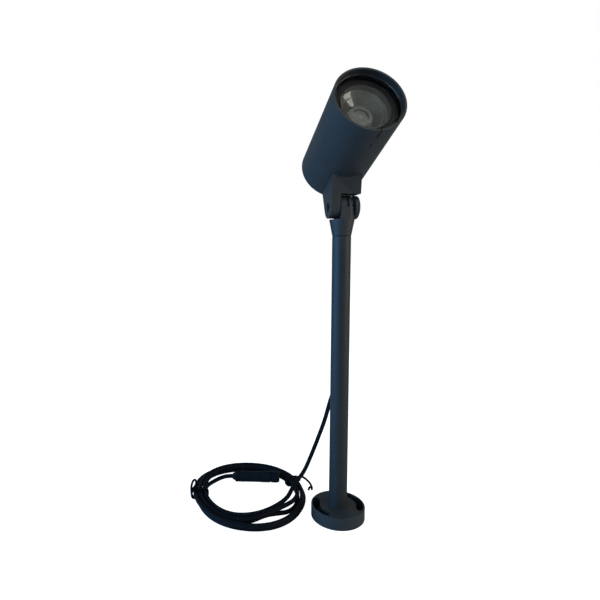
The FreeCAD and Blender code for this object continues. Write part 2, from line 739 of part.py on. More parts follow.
def spoke(name, diameter, turn, along, start, length):
    """A cylinder square to the head's axis, outwards at a turn from the top, in the head's frame."""
    feature = doc.addObject("Part::Cylinder", name)
    bind(feature, Radius=f"({diameter}) / 2", Height=length)
    place = (f"({start}) * sin({turn})", f"({start}) * cos({turn})", along)
    outward = Vector(value(f"sin({turn})"), value(f"cos({turn})"), 0)
    return move(feature, place, Rotation(Vector(0, 0, 1), outward))


def slab(name, width, turn, start, length, low, high):
    """A radial slab of a width, outwards at a turn from the top; in the head's own frame."""
    feature = doc.addObject("Part::Box", name)
    bind(feature, Length=length, Width=width, Height=f"{high} - ({low})")
    place = (
        f"({start}) * sin({turn}) - ({width}) / 2 * cos({turn})",
        f"({start}) * cos({turn}) + ({width}) / 2 * sin({turn})",
        low,
    )
    return move(feature, place, Rotation(Vector(0, 0, 1), 90 - value(turn)))


DOWN = Rotation(Vector(1, 0, 0), 90)
INNER = "head_diameter / 2 - head_wall"
INSERT = f"{INNER} - free_gap"
RING_FACE = "head_length - ring_depth"
GLASS_FACE = f"{RING_FACE} - ring_width"
GASKET_FACE = f"{GLASS_FACE} - glass_thick"
MASK_FACE = f"{GASKET_FACE} - gasket_thick"
REFLECTOR_FACE = f"{MASK_FACE} - mask_thick"
SINK_TOP = f"{REFLECTOR_FACE} - reflector_flange"
BOARD_FACE = "head_length - board_depth"
SINK_FACE = f"{BOARD_FACE} - board_thick"
SINK_BACK = f"{SINK_FACE} - sink_thick"


def build_housing():
    shell = turned("housing_blank", [
        ("0", "0"),
        ("head_diameter / 2 - head_edge", "0"),
        ("head_diameter / 2", "head_edge"),
        ("head_diameter / 2", "head_length"),
        (INNER, "head_length"),
        (INNER, RING_FACE),
        (f"{INNER} + ring_groove", RING_FACE),
        (f"{INNER} + ring_groove", GLASS_FACE),
        (INNER, GLASS_FACE),
        (INNER, "head_back"),
        ("0", "head_back"),
    ])
    start = f"{INNER} - overshoot"
    through = "head_wall + 2 * overshoot"
    pin_place = "head_length - pin_depth"
    open_end = "head_length + overshoot"
    wire_start = f"{INNER} - grommet_flange"
    tools = [
        slab("drain_slit", "slit_width", "pin_turn", start, through, "head_length - slit_length", open_end),
        spoke("lock_pin_hole", "pin_diameter + 2 * fit_gap", "pin_turn", pin_place, start, through),
        spoke("housing_wire_way", "wire_hole", "180", "wire_place", wire_start, "grommet_length"),
    ]
    for side in (-1, 1):
        hole = "screw_diameter + 2 * running_gap"
        seat = "screw_head + 2 * running_gap"
        tools.append(downward(f"screw_way_{side + 2}", hole, side, "head_diameter"))
        tools.append(downward(f"screw_seat_{side + 2}", seat, side, "screw_seat"))
    node(on_head(cut("housing_cut", shell, *tools)), "head_housing")

    screws = []
    for side in (-1, 1):
        place = "-(screw_seat - screw_head_width)"
        head = downward(f"screw_head_{side + 2}", "screw_head", side, "screw_head_width", place)
        shank = downward(f"screw_shank_{side + 2}", "screw_diameter", side, "screw_length", place)
        screws.append(fuse(f"bracket_screw_{side + 2}", head, shank))
    node(on_head(group("bracket_screws_group", *screws)), "bracket_screws")

    tip = f"{INSERT} - pin_inside"
    top = "head_diameter / 2 - pin_outside"
    pin = spoke("lock_pin", "pin_diameter", "pin_turn", pin_place, tip, f"{top} - ({tip})")
    key = spoke("lock_pin_key", "pin_key", "pin_turn", pin_place, f"{top} - pin_key", "pin_key")
    node(on_head(cut("lock_pin_cut", pin, key)), "insert_lock_screw")

    sleeve = turned("grommet_blank", [
        ("grommet_bore / 2", "0"),
        ("wire_hole / 2 + grommet_flange", "0"),
        ("wire_hole / 2 + grommet_flange", "grommet_flange"),
        ("wire_hole / 2 - fit_gap", "grommet_flange"),
        ("wire_hole / 2 - fit_gap", "grommet_length"),
        ("grommet_bore / 2", "grommet_length"),
    ])
    move(sleeve, ("0", "-grommet_start", "wire_place"), DOWN)
    node(on_head(group("grommet_group", sleeve)), "cable_grommet")


def downward(name, diameter, side, length, start="0"):
    """A cylinder on a bracket screw's axis, down from the head's axis plane, in the head's frame."""
    feature = cylinder(name, diameter, length)
    return move(feature, (f"{side} * screw_spacing / 2", start, "screw_place"), DOWN)


def build_front():
    outer = f"2 * ({INNER} + ring_groove - fit_gap)"
    snap = ring("snap_ring_blank", outer, "ring_inner", GLASS_FACE, RING_FACE)
    low = f"{GLASS_FACE} - overshoot"
    high = f"{RING_FACE} + overshoot"
    start = "ring_inner / 2 - overshoot"
    notch = slab("snap_ring_notch", "notch_width", "ring_notch", start, "notch_width", low, high)
    node(on_head(cut("snap_ring_cut", snap, notch)), "snap_ring")

    glass = turned("glass_blank", [
        ("0", GASKET_FACE),
        (f"{INSERT} - glass_bevel", GASKET_FACE),
        (INSERT, f"{GASKET_FACE} + glass_bevel"),
        (INSERT, f"{GLASS_FACE} - glass_bevel"),
        (f"{INSERT} - glass_bevel", GLASS_FACE),
        ("0", GLASS_FACE),
    ])
    node(on_head(glass), "front_glass")
    outer = f"2 * ({INSERT})"
    gasket = ring("gasket_blank", outer, f"{outer} - 2 * gasket_width", MASK_FACE, GASKET_FACE)
    node(on_head(gasket), "glass_gasket")
    mask = ring("mask_blank", outer, "mask_inner", REFLECTOR_FACE, MASK_FACE)
    node(on_head(mask), "glare_mask")

    opening = "mask_inner / 2"
    reflector = turned("reflector_blank", [
        (opening, REFLECTOR_FACE),
        (INSERT, REFLECTOR_FACE),
        (INSERT, SINK_TOP),
        (f"{opening} + reflector_wall", SINK_TOP),
        (f"{opening} + reflector_wall", "head_length - tube_depth - reflector_wall / 2"),
        ("emitter_diameter / 2 + free_gap + reflector_wall", "head_length - reflector_foot"),
        ("emitter_diameter / 2 + free_gap", "head_length - reflector_foot"),
        (opening, "head_length - tube_depth"),
    ])
    node(on_head(reflector), "reflector")


def build_insert():
    rim = f"{INSERT} - sink_rim"
    sink = turned("sink_blank", [
        ("0", SINK_BACK),
        (INSERT, SINK_BACK),
        (INSERT, SINK_TOP),
        (rim, SINK_TOP),
        (rim, SINK_FACE),
        ("0", SINK_FACE),
    ])
    fins = []
    fin_start = f"{SINK_BACK} - fin_length"
    fin_height = "fin_length + overshoot"
    for index in range(-4, 4):
        place = (f"({index} + 0.5) * fin_pitch - fin_thick / 2", "-head_diameter / 2", fin_start)
        fins.append(box(f"fin_{index + 5}", ("fin_thick", "head_diameter", fin_height), place))
    trimmed = doc.addObject("Part::Common", "fins_trimmed")
    trimmed.Base = group("fins", *fins)
    trimmed.Tool = cylinder("fin_limit", f"2 * ({rim})", fin_height, ("0", "0", fin_start))
    width = "pin_diameter + 2 * fit_gap"
    start = f"{INSERT} - pin_inside - fit_gap"
    tools = [spoke("sink_dimple", width, "pin_turn", "head_length - pin_depth", start, "sink_rim")]
    for side in (-1, 1):
        place = (f"{side} * fin_pitch", "fin_pitch", SINK_BACK)
        tools.append(cylinder(f"sink_wire_way_{side + 2}", "wire_way", "sink_thick", place))
    node(on_head(cut("sink_cut", fuse("sink_body", sink, trimmed), *tools)), "heat_sink")

    board = cylinder("board_blank", "board_diameter", "board_thick", ("0", "0", SINK_FACE))
    node(on_head(group("board_group", board)), "led_board")
    step = f"{BOARD_FACE} + emitter_height - emitter_step"
    top = f"{BOARD_FACE} + emitter_height"
    holder = turned("holder_blank", [
        ("chip_diameter / 2 + free_gap", BOARD_FACE),
        ("emitter_diameter / 2", BOARD_FACE),
        ("emitter_diameter / 2", step),
        ("emitter_diameter / 2 - emitter_bevel", top),
        ("chip_diameter / 2 + free_gap", top),
    ])
    node(on_head(holder), "led_holder")
    chip = cylinder("chip_blank", "chip_diameter", "chip_height", ("0", "0", BOARD_FACE))
    node(on_head(group("chip_group", chip)), "led_chip")

    corner = ("-driver_width / 2", "-driver_height / 2", "head_back")
    driver = box("driver_blank", ("driver_width", "driver_height", "driver_length"), corner)
    node(on_head(group("driver_group", driver)), "led_driver")
    behind = "head_back + driver_length"
    corner = ("-block_width / 2", "-block_height - block_drop", behind)
    block = box("block_blank", ("block_width", "block_height", "block_length"), corner)
    node(on_head(group("block_group", block)), "terminal_block")

    wires = []
    for side in (-1, 1):
        place = (f"{side} * fin_pitch", "fin_pitch", behind)
        wires.append(cylinder(f"led_wire_{side + 2}", "wire_diameter", f"{SINK_FACE} - ({behind})", place))
    node(on_head(group("led_wires_group", *wires)), "led_wires")
    middle = f"{behind} + block_length / 2"
    entry = [
        head_point("0", "wire_place", "-lead_outside"),
        head_point("0", "wire_place", "-lead_inside"),
        head_point("0", middle, "-lead_drop"),
        head_point("0", middle, "-block_height - block_drop"),
    ]
    tube("lamp_lead", entry, value("lead_diameter"))


# --- Cord, coil and connector ---------------------------------------------------------------------

cord = value("cord_diameter")
coil_pitch = (value("coil_outer") - value("coil_start")) / COIL_SPIRAL
low_turn = value("coil_lift + cord_diameter / 2")
high_turn = low_turn + value("coil_layer")


def coil_size(turns):
    """Return the half width and the height of the coil after a number of turns."""
    if turns <= COIL_SPIRAL:
        return value("coil_start") + coil_pitch * turns, high_turn
    if turns <= COIL_SPIRAL + COIL_DROP:
        share = (turns - COIL_SPIRAL) / COIL_DROP
        eased = share * share * (3 - 2 * share)
        bulge = value("coil_bulge") * math.sin(math.pi * share) ** 2
        return value("coil_outer") + bulge, high_turn + (low_turn - high_turn) * eased
    return value("coil_outer") - coil_pitch * (turns - COIL_SPIRAL - COIL_DROP), low_turn


def coil_point(turns):
    """Return a point of the coil's centre line; it winds clockwise, seen from above."""
    half_width, height = coil_size(turns)
    angle = math.radians(COIL_FIRST - 360 * turns)
    across = half_width * math.cos(angle)
    deep = half_width * value("coil_stretch") * math.sin(angle)
    return COIL_CENTRE + Vector(across, deep, height)


def coil_heading(turns):
    """Return the direction in which the coil winds on."""
    step = 0.002
    heading = coil_point(turns + step) - coil_point(turns - step)
    if turns < step or turns > COIL_TURNS - step:
        heading.z = 0
    return heading.normalize()


def biarc(start, heading, end, last_heading):
    """Return two tangent arcs between two points with given directions."""
    gap = end - start
    both = heading + last_heading
    straight = heading.dot(last_heading) - 1
    linear = gap.dot(both)
    reach = (linear - math.sqrt(linear**2 - 2 * straight * gap.dot(gap))) / (2 * straight)
    first = start + heading * reach
    second = end - last_heading * reach
    joint = (first + second) / 2
    return [corner_arc(start, first, joint), corner_arc(joint, second, end)]


def corner_arc(start, corner, end):
    """Return the arc that is tangent to both legs of a corner with equal legs."""
    before = (corner - start).normalize()
    after = (end - corner).normalize()
    half = before.getAngle(after) / 2
    radius = (corner - start).Length / math.tan(half)
    inward = (after - before).normalize()
    return Part.Arc(start, corner + inward * (radius * (1 / math.cos(half) - 1)), end)


def coil_ends():
    """Return the two ends of the coil, where its straight ends meet the lead and the tail."""
    start = coil_point(0) - coil_heading(0) * COIL_END_RUN
    end = coil_point(COIL_TURNS) + coil_heading(COIL_TURNS) * COIL_END_RUN
    return start, end


def build_coil():
    """Build the coil and return points along its centre line."""
    quarters = int(COIL_TURNS * 4)
    stops = [index / 4 for index in range(quarters + 1)]
    if COIL_TURNS - stops[-1] < 0.125:
        stops[-1] = COIL_TURNS
    else:
        stops.append(COIL_TURNS)
    arcs = []
    for here, there in zip(stops, stops[1:]):
        arcs += biarc(coil_point(here), coil_heading(here), coil_point(there), coil_heading(there))
    start, end = coil_ends()
    arcs.insert(0, Part.LineSegment(start, coil_point(0)))
    arcs.append(Part.LineSegment(coil_point(COIL_TURNS), end))
    path = Part.Wire([arc.toShape() for arc in arcs])
    section = Part.Wire(Part.Circle(start, coil_heading(0), cord / 2).toShape())
    solid = path.makePipeShell([section], True, False)
    expected = math.pi * cord**2 / 4 * path.Length
    if abs(solid.Volume / expected - 1) > 0.01:
        raise RuntimeError(f"the coil has volume {solid.Volume:.0f}, not {expected:.0f}")
    feature = doc.addObject("Part::Feature", "coil_solid")
    feature.Shape = solid
    node(feature, "cord_coil")
    spaced = path.discretize(Distance=STEP)
    apart = int(10 * cord / STEP)
    least = min(
        (spaced[here] - spaced[there]).Length
        for here in range(len(spaced))
        for there in range(here + apart, len(spaced))
    )
    print(f"cord_coil: length {path.Length:.0f}, least gap to itself {least - cord:.2f}")
    return spaced


def build_cord(turns):
    start, end = coil_ends()
    lead = [mouth, mouth + exit_direction * LEAD_START_RUN]
    lead += [Vector(*point) for point in LEAD_POINTS]
    lead += [start - coil_heading(0) * LEAD_END_RUN, start]
    tube("cord_lead", lead, cord)
    path, radii = bends(lead)
    clear = path.discretize(Distance=STEP)[:-JOINED_STEPS]
    near = min((here - there).Length for here in clear for there in turns)
    print(f"cord_lead: least gap to the coil {near - cord:.2f}")

    inlet = connector_point(-CONNECTOR_HALF)
    tail = [end, end + coil_heading(COIL_TURNS) * TAIL_START_RUN]
    tail += [Vector(*point) for point in TAIL_POINTS]
    tail += [inlet - connector_heading * TAIL_END_RUN, inlet]
    tube("cord_tail", tail, cord)


CONNECTOR_HALF = value("connector_nut + connector_body + connector_cap") / 2
connector_heading = Rotation(Vector(0, 0, 1), CONNECTOR_TURN).multVec(Vector(1, 0, 0))


def connector_point(along):
    """A point on the connector's axis, from its middle."""
    return CONNECTOR_CENTRE + Vector(0, 0, value("connector_diameter") / 2) + connector_heading * along


def build_connector():
    wide = "connector_diameter / 2"
    neck = f"{wide} - connector_neck"
    nut = turned("connector_nut_blank", [
        ("0", "0"),
        ("cord_diameter / 2 + nut_wall", "0"),
        (f"{wide} - nut_wall", "nut_taper"),
        (wide, "nut_taper + nut_edge"),
        (wide, "connector_nut"),
        ("0", "connector_nut"),
    ])
    body = turned("connector_body_blank", [
        ("0", "0"),
        (wide, "0"),
        (wide, "connector_body - connector_groove"),
        (neck, "connector_body - connector_groove"),
        (neck, "connector_body"),
        ("0", "connector_body"),
    ])
    cap = turned("connector_cap_blank", [
        ("0", "0"),
        (wide, "0"),
        (wide, "connector_cap - connector_bevel"),
        (f"{wide} - connector_bevel", "connector_cap"),
        ("0", "connector_cap"),
    ])
    reach = -CONNECTOR_HALF
    for piece, label in ((nut, "connector_nut"), (body, "connector_body"), (cap, "connector_cap")):
        piece.Placement = Placement(connector_point(reach), Rotation(Vector(0, 0, 1), connector_heading))
        reach += value(label)
        node(piece, label)


def crossings(turns, start, along):
    """Return where the coil's centre line passes the plane of a tie, near the tie."""
    found = []
    for here, there in zip(turns, turns[1:]):
        before = (here - start).dot(along)
        after = (there - start).dot(along)
        near = (here - start).Length < value("coil_outer") / 2
        if near and before * after <= 0:
            found.append(here + (there - here) * (before / (before - after)))
    return found


def build_ties(turns):
    clear = cord / 2 + value("free_gap")
    thick = value("tie_thick")
    wide = value("tie_width")
    middle_size = value("(coil_start + coil_outer) / 2")
    for label, angle in TIE_ANGLES.items():
        nearest = (COIL_FIRST - angle) / 360 % 1
        outward = coil_point(nearest) - COIL_CENTRE
        start = COIL_CENTRE + outward * (middle_size / coil_size(nearest)[0])
        along = coil_heading(nearest)
        across = Vector(-along.y, along.x, 0)
        passing = crossings(turns, Vector(start.x, start.y, high_turn), along)
        places = [(point - start).dot(across) for point in passing]
        heights = [point.z for point in passing]
        near = min(places) - clear
        far = max(places) + clear
        low = min(heights) - clear
        high = max(heights) + clear
        shapes = []
        for grow in (thick, 0):
            spare = thick - grow
            solid = Part.makeBox(far - near + 2 * grow, wide + 2 * spare, high - low + 2 * grow)
            solid = solid.makeFillet(cord / 2 + grow, [edge for edge in solid.Edges if along_width(edge)])
            solid.translate(Vector(near - grow, -wide / 2 - spare, low - grow))
            shapes.append(solid)
        feature = doc.addObject("Part::Feature", label + "_solid")
        feature.Shape = shapes[0].cut(shapes[1])
        turn = math.degrees(math.atan2(across.y, across.x))
        feature.Placement = Placement(Vector(start.x, start.y, 0), Rotation(Vector(0, 0, 1), turn))
        node(feature, label)


def along_width(edge):
    """Tell whether an edge of a tie's blank runs along the cord."""
    start, end = (vertex.Point for vertex in edge.Vertexes)
    return abs(start.y - end.y) > 0.1


# --- Build, check and write -----------------------------------------------------------------------

build_base()
build_pole()
build_post()
build_bracket()
build_housing()
build_front()
build_insert()
coil_path = build_coil()
build_cord(coil_path)
build_connector()
build_ties(coil_path)
doc.recompute()

for feature in doc.Objects:
    if "Invalid" in feature.State or "Error" in feature.State:
        raise RuntimeError(f"{feature.Label} failed: {feature.State}")
for feature in nodes:
    shape = feature.Shape
    if shape.isNull() or not shape.isValid() or not shape.Solids:
        raise RuntimeError(f"{feature.Label} has no valid solid")

os.makedirs("parts", exist_ok=True)
for feature in nodes:
    feature.Shape.exportStep(f"parts/{feature.Label}.step")
    corner = feature.Shape.BoundBox
    print(
        f"{feature.Label}: {len(feature.Shape.Solids)} solid(s), {feature.Shape.Volume / 1000:.2f} cm3,"
        f" x {corner.XMin:.1f} {corner.XMax:.1f}, y {corner.YMin:.1f} {corner.YMax:.1f},"
        f" z {corner.ZMin:.1f} {corner.ZMax:.1f}"
    )
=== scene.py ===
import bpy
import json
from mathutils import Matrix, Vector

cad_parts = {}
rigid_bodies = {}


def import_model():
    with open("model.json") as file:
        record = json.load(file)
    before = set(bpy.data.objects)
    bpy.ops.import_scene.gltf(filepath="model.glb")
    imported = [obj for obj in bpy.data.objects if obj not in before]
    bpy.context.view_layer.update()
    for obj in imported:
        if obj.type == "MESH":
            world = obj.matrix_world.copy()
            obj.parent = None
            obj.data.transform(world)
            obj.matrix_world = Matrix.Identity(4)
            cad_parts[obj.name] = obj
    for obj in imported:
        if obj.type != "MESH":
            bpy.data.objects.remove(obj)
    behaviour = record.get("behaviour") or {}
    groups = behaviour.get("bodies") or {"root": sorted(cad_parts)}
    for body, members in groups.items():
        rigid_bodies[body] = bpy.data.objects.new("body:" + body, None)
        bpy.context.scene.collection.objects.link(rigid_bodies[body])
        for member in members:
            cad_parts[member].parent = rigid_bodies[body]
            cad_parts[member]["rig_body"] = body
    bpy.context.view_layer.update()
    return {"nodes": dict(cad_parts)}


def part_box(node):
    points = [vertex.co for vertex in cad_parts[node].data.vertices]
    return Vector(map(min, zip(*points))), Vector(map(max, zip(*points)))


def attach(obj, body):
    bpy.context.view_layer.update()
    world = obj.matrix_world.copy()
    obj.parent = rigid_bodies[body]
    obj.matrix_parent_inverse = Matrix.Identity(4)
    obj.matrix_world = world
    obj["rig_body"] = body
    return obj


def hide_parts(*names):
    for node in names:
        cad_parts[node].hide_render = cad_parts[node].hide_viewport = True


bl_info = {
    "name": "Garden Spotlight",
    "version": (1, 0, 0),
    "blender": (4, 5, 0),
    "location": "View3D > Sidebar > Spotlight",
    "description": "Finish the pieces of a garden spotlight around its packed frame",
    "category": "Object",
}

import json
import math

import bmesh
import bpy
from bpy.props import FloatProperty, FloatVectorProperty, IntProperty, PointerProperty
from mathutils import Matrix, Vector

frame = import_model()
MM = 0.001

# The camera as fitted to the photograph, in metres.
SENSOR_WIDTH = 36.0
LENS = 27.73
CAMERA_SHIFT = (0.0734, -0.0292)
CAMERA_REACH = (0.01, 50.0)
CAMERA_PLACE = Vector((-0.2102, -0.5952, 0.3689))
CAMERA_RIGHT = Vector((0.98769, -0.15641, 0.00156))
CAMERA_UP = Vector((0.00930, 0.06870, 0.99760))
CAMERA_FORWARD = Vector((0.15614, 0.98530, -0.06931))

# Points this near are one point, in metres, and faces this level are one face.
WELD = 0.000001
FRAME_WELD = 0.000002
FLAT_ANGLE = math.radians(0.6)
# The rounding of edges that the frame leaves sharp, in metres.
SCREW_EDGE = 0.0003
TURNED_EDGE = 0.00025
MOULDED_EDGE = 0.00018
DOME_EDGE = 0.00008

# The head's own frame: Z runs out of the front, Y to the top, and its origin is the rear face's
# centre. The sizes are in millimetres, and the places in metres.
HEAD_TURN = math.radians(67.2)
HEAD_BEHIND = 21.24
HEAD_ABOVE = 70.2
PIVOT_HEIGHT = 426.0
HEAD_ORIGIN = Vector((
    0.0,
    HEAD_BEHIND * math.sin(HEAD_TURN) + HEAD_ABOVE * math.cos(HEAD_TURN),
    PIVOT_HEIGHT - HEAD_BEHIND * math.cos(HEAD_TURN) + HEAD_ABOVE * math.sin(HEAD_TURN),
)) * MM
HEAD_PLACE = Matrix.Translation(HEAD_ORIGIN) @ Matrix.Rotation(HEAD_TURN, 4, "X")
HEAD_LENGTH = 147.8
HEAD_FRONT = HEAD_PLACE @ Vector((0, 0, HEAD_LENGTH * MM))

# The optics: each outline has a radius and a depth under the head's front rim.
SNAP_RING_INNER = 39.9
SNAP_RING_OUTER = 41.45
SNAP_RING_FRONT = 7.6
SNAP_RING_THICK = 1.4
SNAP_RING_GAP = math.radians(9.5)
SNAP_RING_GAP_AT = math.radians(-38.0)
REFLECTOR_OUTLINE = (
    (30.7, 22.0), (30.4, 22.9), (29.6, 23.4), (25.1, 26.6), (24.3, 26.7), (24.1, 27.3),
    (16.2, 32.6), (15.3, 33.6), (16.5, 33.7), (31.7, 24.4), (31.8, 16.7), (40.5, 16.7),
    (40.5, 15.3), (31.0, 15.3), (30.8, 15.25),
)
BOARD_DEPTH = 34.0
# The dome's outline has a radius and a height over the board.
DOME_OUTLINE = (
    (0, 0.02), (9.5, 0.02), (9.5, 0.7), (8.7, 0.9), (8.6, 0.5), (6.7, 0.5), (6.5, 1.2), (5.6, 1.4),
    (5.4, 1.0), (4.4, 1.1), (4.2, 1.5), (3.0, 1.75), (0, 1.8),
)

# The gland, in millimetres. Its outlines have a radius and a place along its axis, from the pole's
# surface.
EXIT_HEIGHT = 196.8
EXIT_TURN = math.radians(80.0)
EXIT_DIP = math.radians(35.0)
EXIT_DIRECTION = Vector((
    math.cos(EXIT_DIP) * math.cos(EXIT_TURN),
    math.cos(EXIT_DIP) * math.sin(EXIT_TURN),
    -math.sin(EXIT_DIP),
))
POLE_RADIUS = 12.5
GLAND_SEAT = POLE_RADIUS / math.cos(EXIT_DIP)
GLAND_LENGTH = 26.0
GLAND_MOUTH = Vector((0.0, 0.0, EXIT_HEIGHT)) + EXIT_DIRECTION * (GLAND_SEAT + GLAND_LENGTH)
GLAND_COLLAR = (
    (3.2, -4.8), (4.8, -4.8), (4.8, 1.0), (6.1, 1.0), (6.3, 1.4), (6.3, 7.6), (5.9, 8.2), (5.2, 8.8),
)
GLAND_RIBS = 7
GLAND_RIBS_START = 9.0
GLAND_RIB_PITCH = 2.3
GLAND_RIB_RADIUS = 5.2   # of the first rib
GLAND_TAPER = 0.8        # how much narrower the gland is at its mouth
# One rib: how far its outline lies inside the taper, and where.
GLAND_RIB = ((0.45, 0.0), (0.45, 0.8), (0.0, 1.0), (0.05, 2.1))
GLAND_END = ((4.3, 25.4), (4.1, 26.0), (3.3, 26.0), (3.2, 25.8))

# The cord's route, in millimetres: the frame's tubes, with the strands of the coil drawn apart or
# together where the photograph shows them so.
CORD_WIDE = 6.2
LEAD_POINTS = [
    (7.6, 51.5, 156.3),
    (6.0, 57.8, 144.1),
    (3.7, 62.1, 128.6),
    (-0.3, 65.0, 110.1),
    (-7.2, 67.6, 88.8),
    (-13.6, 71.3, 67.6),
    (-18.9, 76.4, 49.3),
    (-24.3, 75.7, 37.1),
    (-31.1, 72.2, 28.0),
    (-39.8, 67.0, 21.9),
    (-48.3, 56.3, 19.0),
    (-56.0, 44.9, 17.0),
]
TAIL_POINTS = [
    (-177.7, 90.6, 8.8),
    (-173.5, 98.7, 8.0),
    (-167.1, 105.6, 7.8),
    (-158.9, 110.4, 9.2),
    (-149.9, 112.6, 11.2),
]
COIL_CENTRE = Vector((-114.0, 65.7, 0.0))
COIL_FIRST = -45.0       # the angle at which the coil starts
COIL_SPIRAL = 2.25       # turns of the upper layer, which winds outward
COIL_DROP = 0.5          # turns in which it sinks to the lower layer
COIL_TURNS = 4.386       # turns in all
COIL_START = 61.5        # half width of the innermost turn
COIL_OUTER = 79.9        # half width of the outermost turn
COIL_STRETCH = 1.105     # the coil's depth over its width
COIL_LOW = 4.2           # height of the lower layer
COIL_HIGH = 11.0         # height of the upper layer
COIL_BULGE = 1.0         # how far the sinking turn swings out
COIL_POINTS = 24         # control points in each turn
# Where strands lie loose: the place in turns, its reach in turns, the outward shift and the lift.
COIL_SLACK = (
    (0.03, 0.22, -5.0, 4.5),
    (0.44, 0.24, 3.0, 5.0),
    (0.90, 0.14, 1.6, 0.0),
    (1.05, 0.15, -6.8, 4.5),
    (1.44, 0.24, 1.5, 5.0),
    (1.92, 0.12, -0.5, 0.0),
    (2.08, 0.15, 3.4, -0.4),
    (2.40, 0.24, 0.6, 5.0),
    (2.90, 0.12, 1.0, 0.0),
    (3.07, 0.11, 2.4, 0.0),
    (3.44, 0.20, 2.4, 5.0),
    (4.085, 0.11, -8.4, 6.4),
    (4.40, 0.24, 1.5, 5.0),
)
# Straight runs at the ends of the lead and of the tail.
LEAD_START_RUN = 12.0
LEAD_END_RUN = 15.5
TAIL_START_RUN = 11.1
TAIL_END_RUN = 6.1

# The connector, in millimetres: each outline has a radius and a place along its own piece.
CONNECTOR_CENTRE = Vector((-98.9, 103.5, 12.4))
CONNECTOR_TURN = math.radians(-11.4)
RIM_RADIUS = 8.25        # of the body's and the cap's broad rims
NUT_LENGTH = 15.0
GRIP_START = 5.0         # the nut's straight part starts here
GRIP_END = 13.4          # and ends here
NUT_OUTLINE = (
    (0, 0), (3.4, 0), (4.5, 0.4), (5.2, 2.2), (6.6, 4.4), (7.4, GRIP_START), (7.4, GRIP_END),
    (8.0, 13.8), (8.15, NUT_LENGTH), (0, NUT_LENGTH),
)
RIB_SIDES = 4            # columns of faces from rib to rib
RIB_INSET = 0.0003       # metres
RIB_RISE = 0.0007        # metres
BODY_LENGTH = 46.0
BODY_OUTLINE = (
    (0, 0), (8.0, 0), (RIM_RADIUS, 0.3), (RIM_RADIUS, 3.0), (7.95, 3.4), (7.95, 30.0),
    (RIM_RADIUS, 31.0), (RIM_RADIUS, 44.4), (7.9, 44.8), (7.2, 44.9), (7.2, BODY_LENGTH),
    (0, BODY_LENGTH),
)
CAP_LENGTH = 13.0
CAP_OUTLINE = (
    (0, 0), (8.0, 0), (RIM_RADIUS, 0.3), (RIM_RADIUS, 9.6), (8.05, 10.4), (7.0, 12.4), (6.2, 12.9),
    (4.2, CAP_LENGTH), (3.6, 12.4), (0, 12.3),
)
CONNECTOR_HALF = (NUT_LENGTH + BODY_LENGTH + CAP_LENGTH) / 2

# The ties, in millimetres.
TIE_BAND = 0.8           # thickness of a tie in the frame
TIE_WIDTH = 3.6          # width of a tie in the frame, along the cord
TIE_WRAPS = 2
TIE_PITCH = 1.25         # from wrap to wrap, in thicknesses of the wire
TIE_CORNER = 3.2         # how far a wrap's corners are cut
# The ties' twisted ends: outward from the coil, along it, and height.
LEFT_TIE_ENDS = (
    (0.6, 0.4, 18.0), (0.5, 1.6, 23.0), (-0.8, 2.4, 29.5), (-3.6, 1.4, 33.5), (-6.6, -0.8, 30.5),
    (-6.6, -2.0, 24.6), (-4.0, -1.8, 20.2), (-1.2, -0.8, 18.2), (0.9, 0.2, 16.0),
)
RIGHT_TIE_ENDS = (
    (0.4, 0.0, 11.0), (1.0, 0.6, 13.4), (3.6, -1.4, 13.8), (7.0, -6.0, 12.2), (9.6, -12.0, 9.8),
    (10.4, -19.0, 7.4), (8.8, -25.0, 5.4), (6.4, -28.5, 4.4), (8.4, -26.0, 7.4), (5.4, -22.0, 5.6),
    (3.0, -25.0, 3.4),
)
# How far a tie's wraps lie above the frame's tie, and inside it at the coil's inner edge.
TIE_LIFT = {"tie_left": 5.0, "tie_right": 0.0}
TIE_INSET = {"tie_left": 2.6, "tie_right": 0.0}

# The stage, in metres.
FLOOR_RADIUS = 12.0
FLOOR_SIDES = 96
UNDER_BASE = 0.0345      # radius of the dark disc under the base, a painted shadow
# The room's light from below, from its walls and from above.
FLOOR_GLOW = (0.30, 0.32, 0.33)
WALL_GLOW = (0.29, 0.31, 0.315)
CEILING_GLOW = (0.06, 0.07, 0.075)
WALL_HEIGHT = 0.56       # share of the way up at which the walls are reached
POLE_MIDDLE = Vector((0.0, 0.0, 0.3))
# Each light: its name, kind, place, aim, power in watts, width and colour.
LIGHTS = (
    ("blue_left_window", "AREA", (-1.65, -0.25, 0.25), POLE_MIDDLE, 48.0, 1.5, (0.16, 0.50, 1.0)),
    ("right_window", "AREA", (1.6, -0.9, 0.5), POLE_MIDDLE, 10.5, 1.0, (1.0, 0.95, 0.84)),
    ("small_lamp", "SPOT", (-0.5, -1.5, 1.5), HEAD_FRONT, 45.0, 0.02, (1.0, 0.98, 0.94)),
    ("soft_ceiling_panel", "AREA", (1.0, -1.2, 2.6), POLE_MIDDLE, 12.0, 1.8, (0.98, 1.0, 0.96)),
)
LAMP_CONE = math.radians(6.0)


# --- Settings -------------------------------------------------------------------------------------

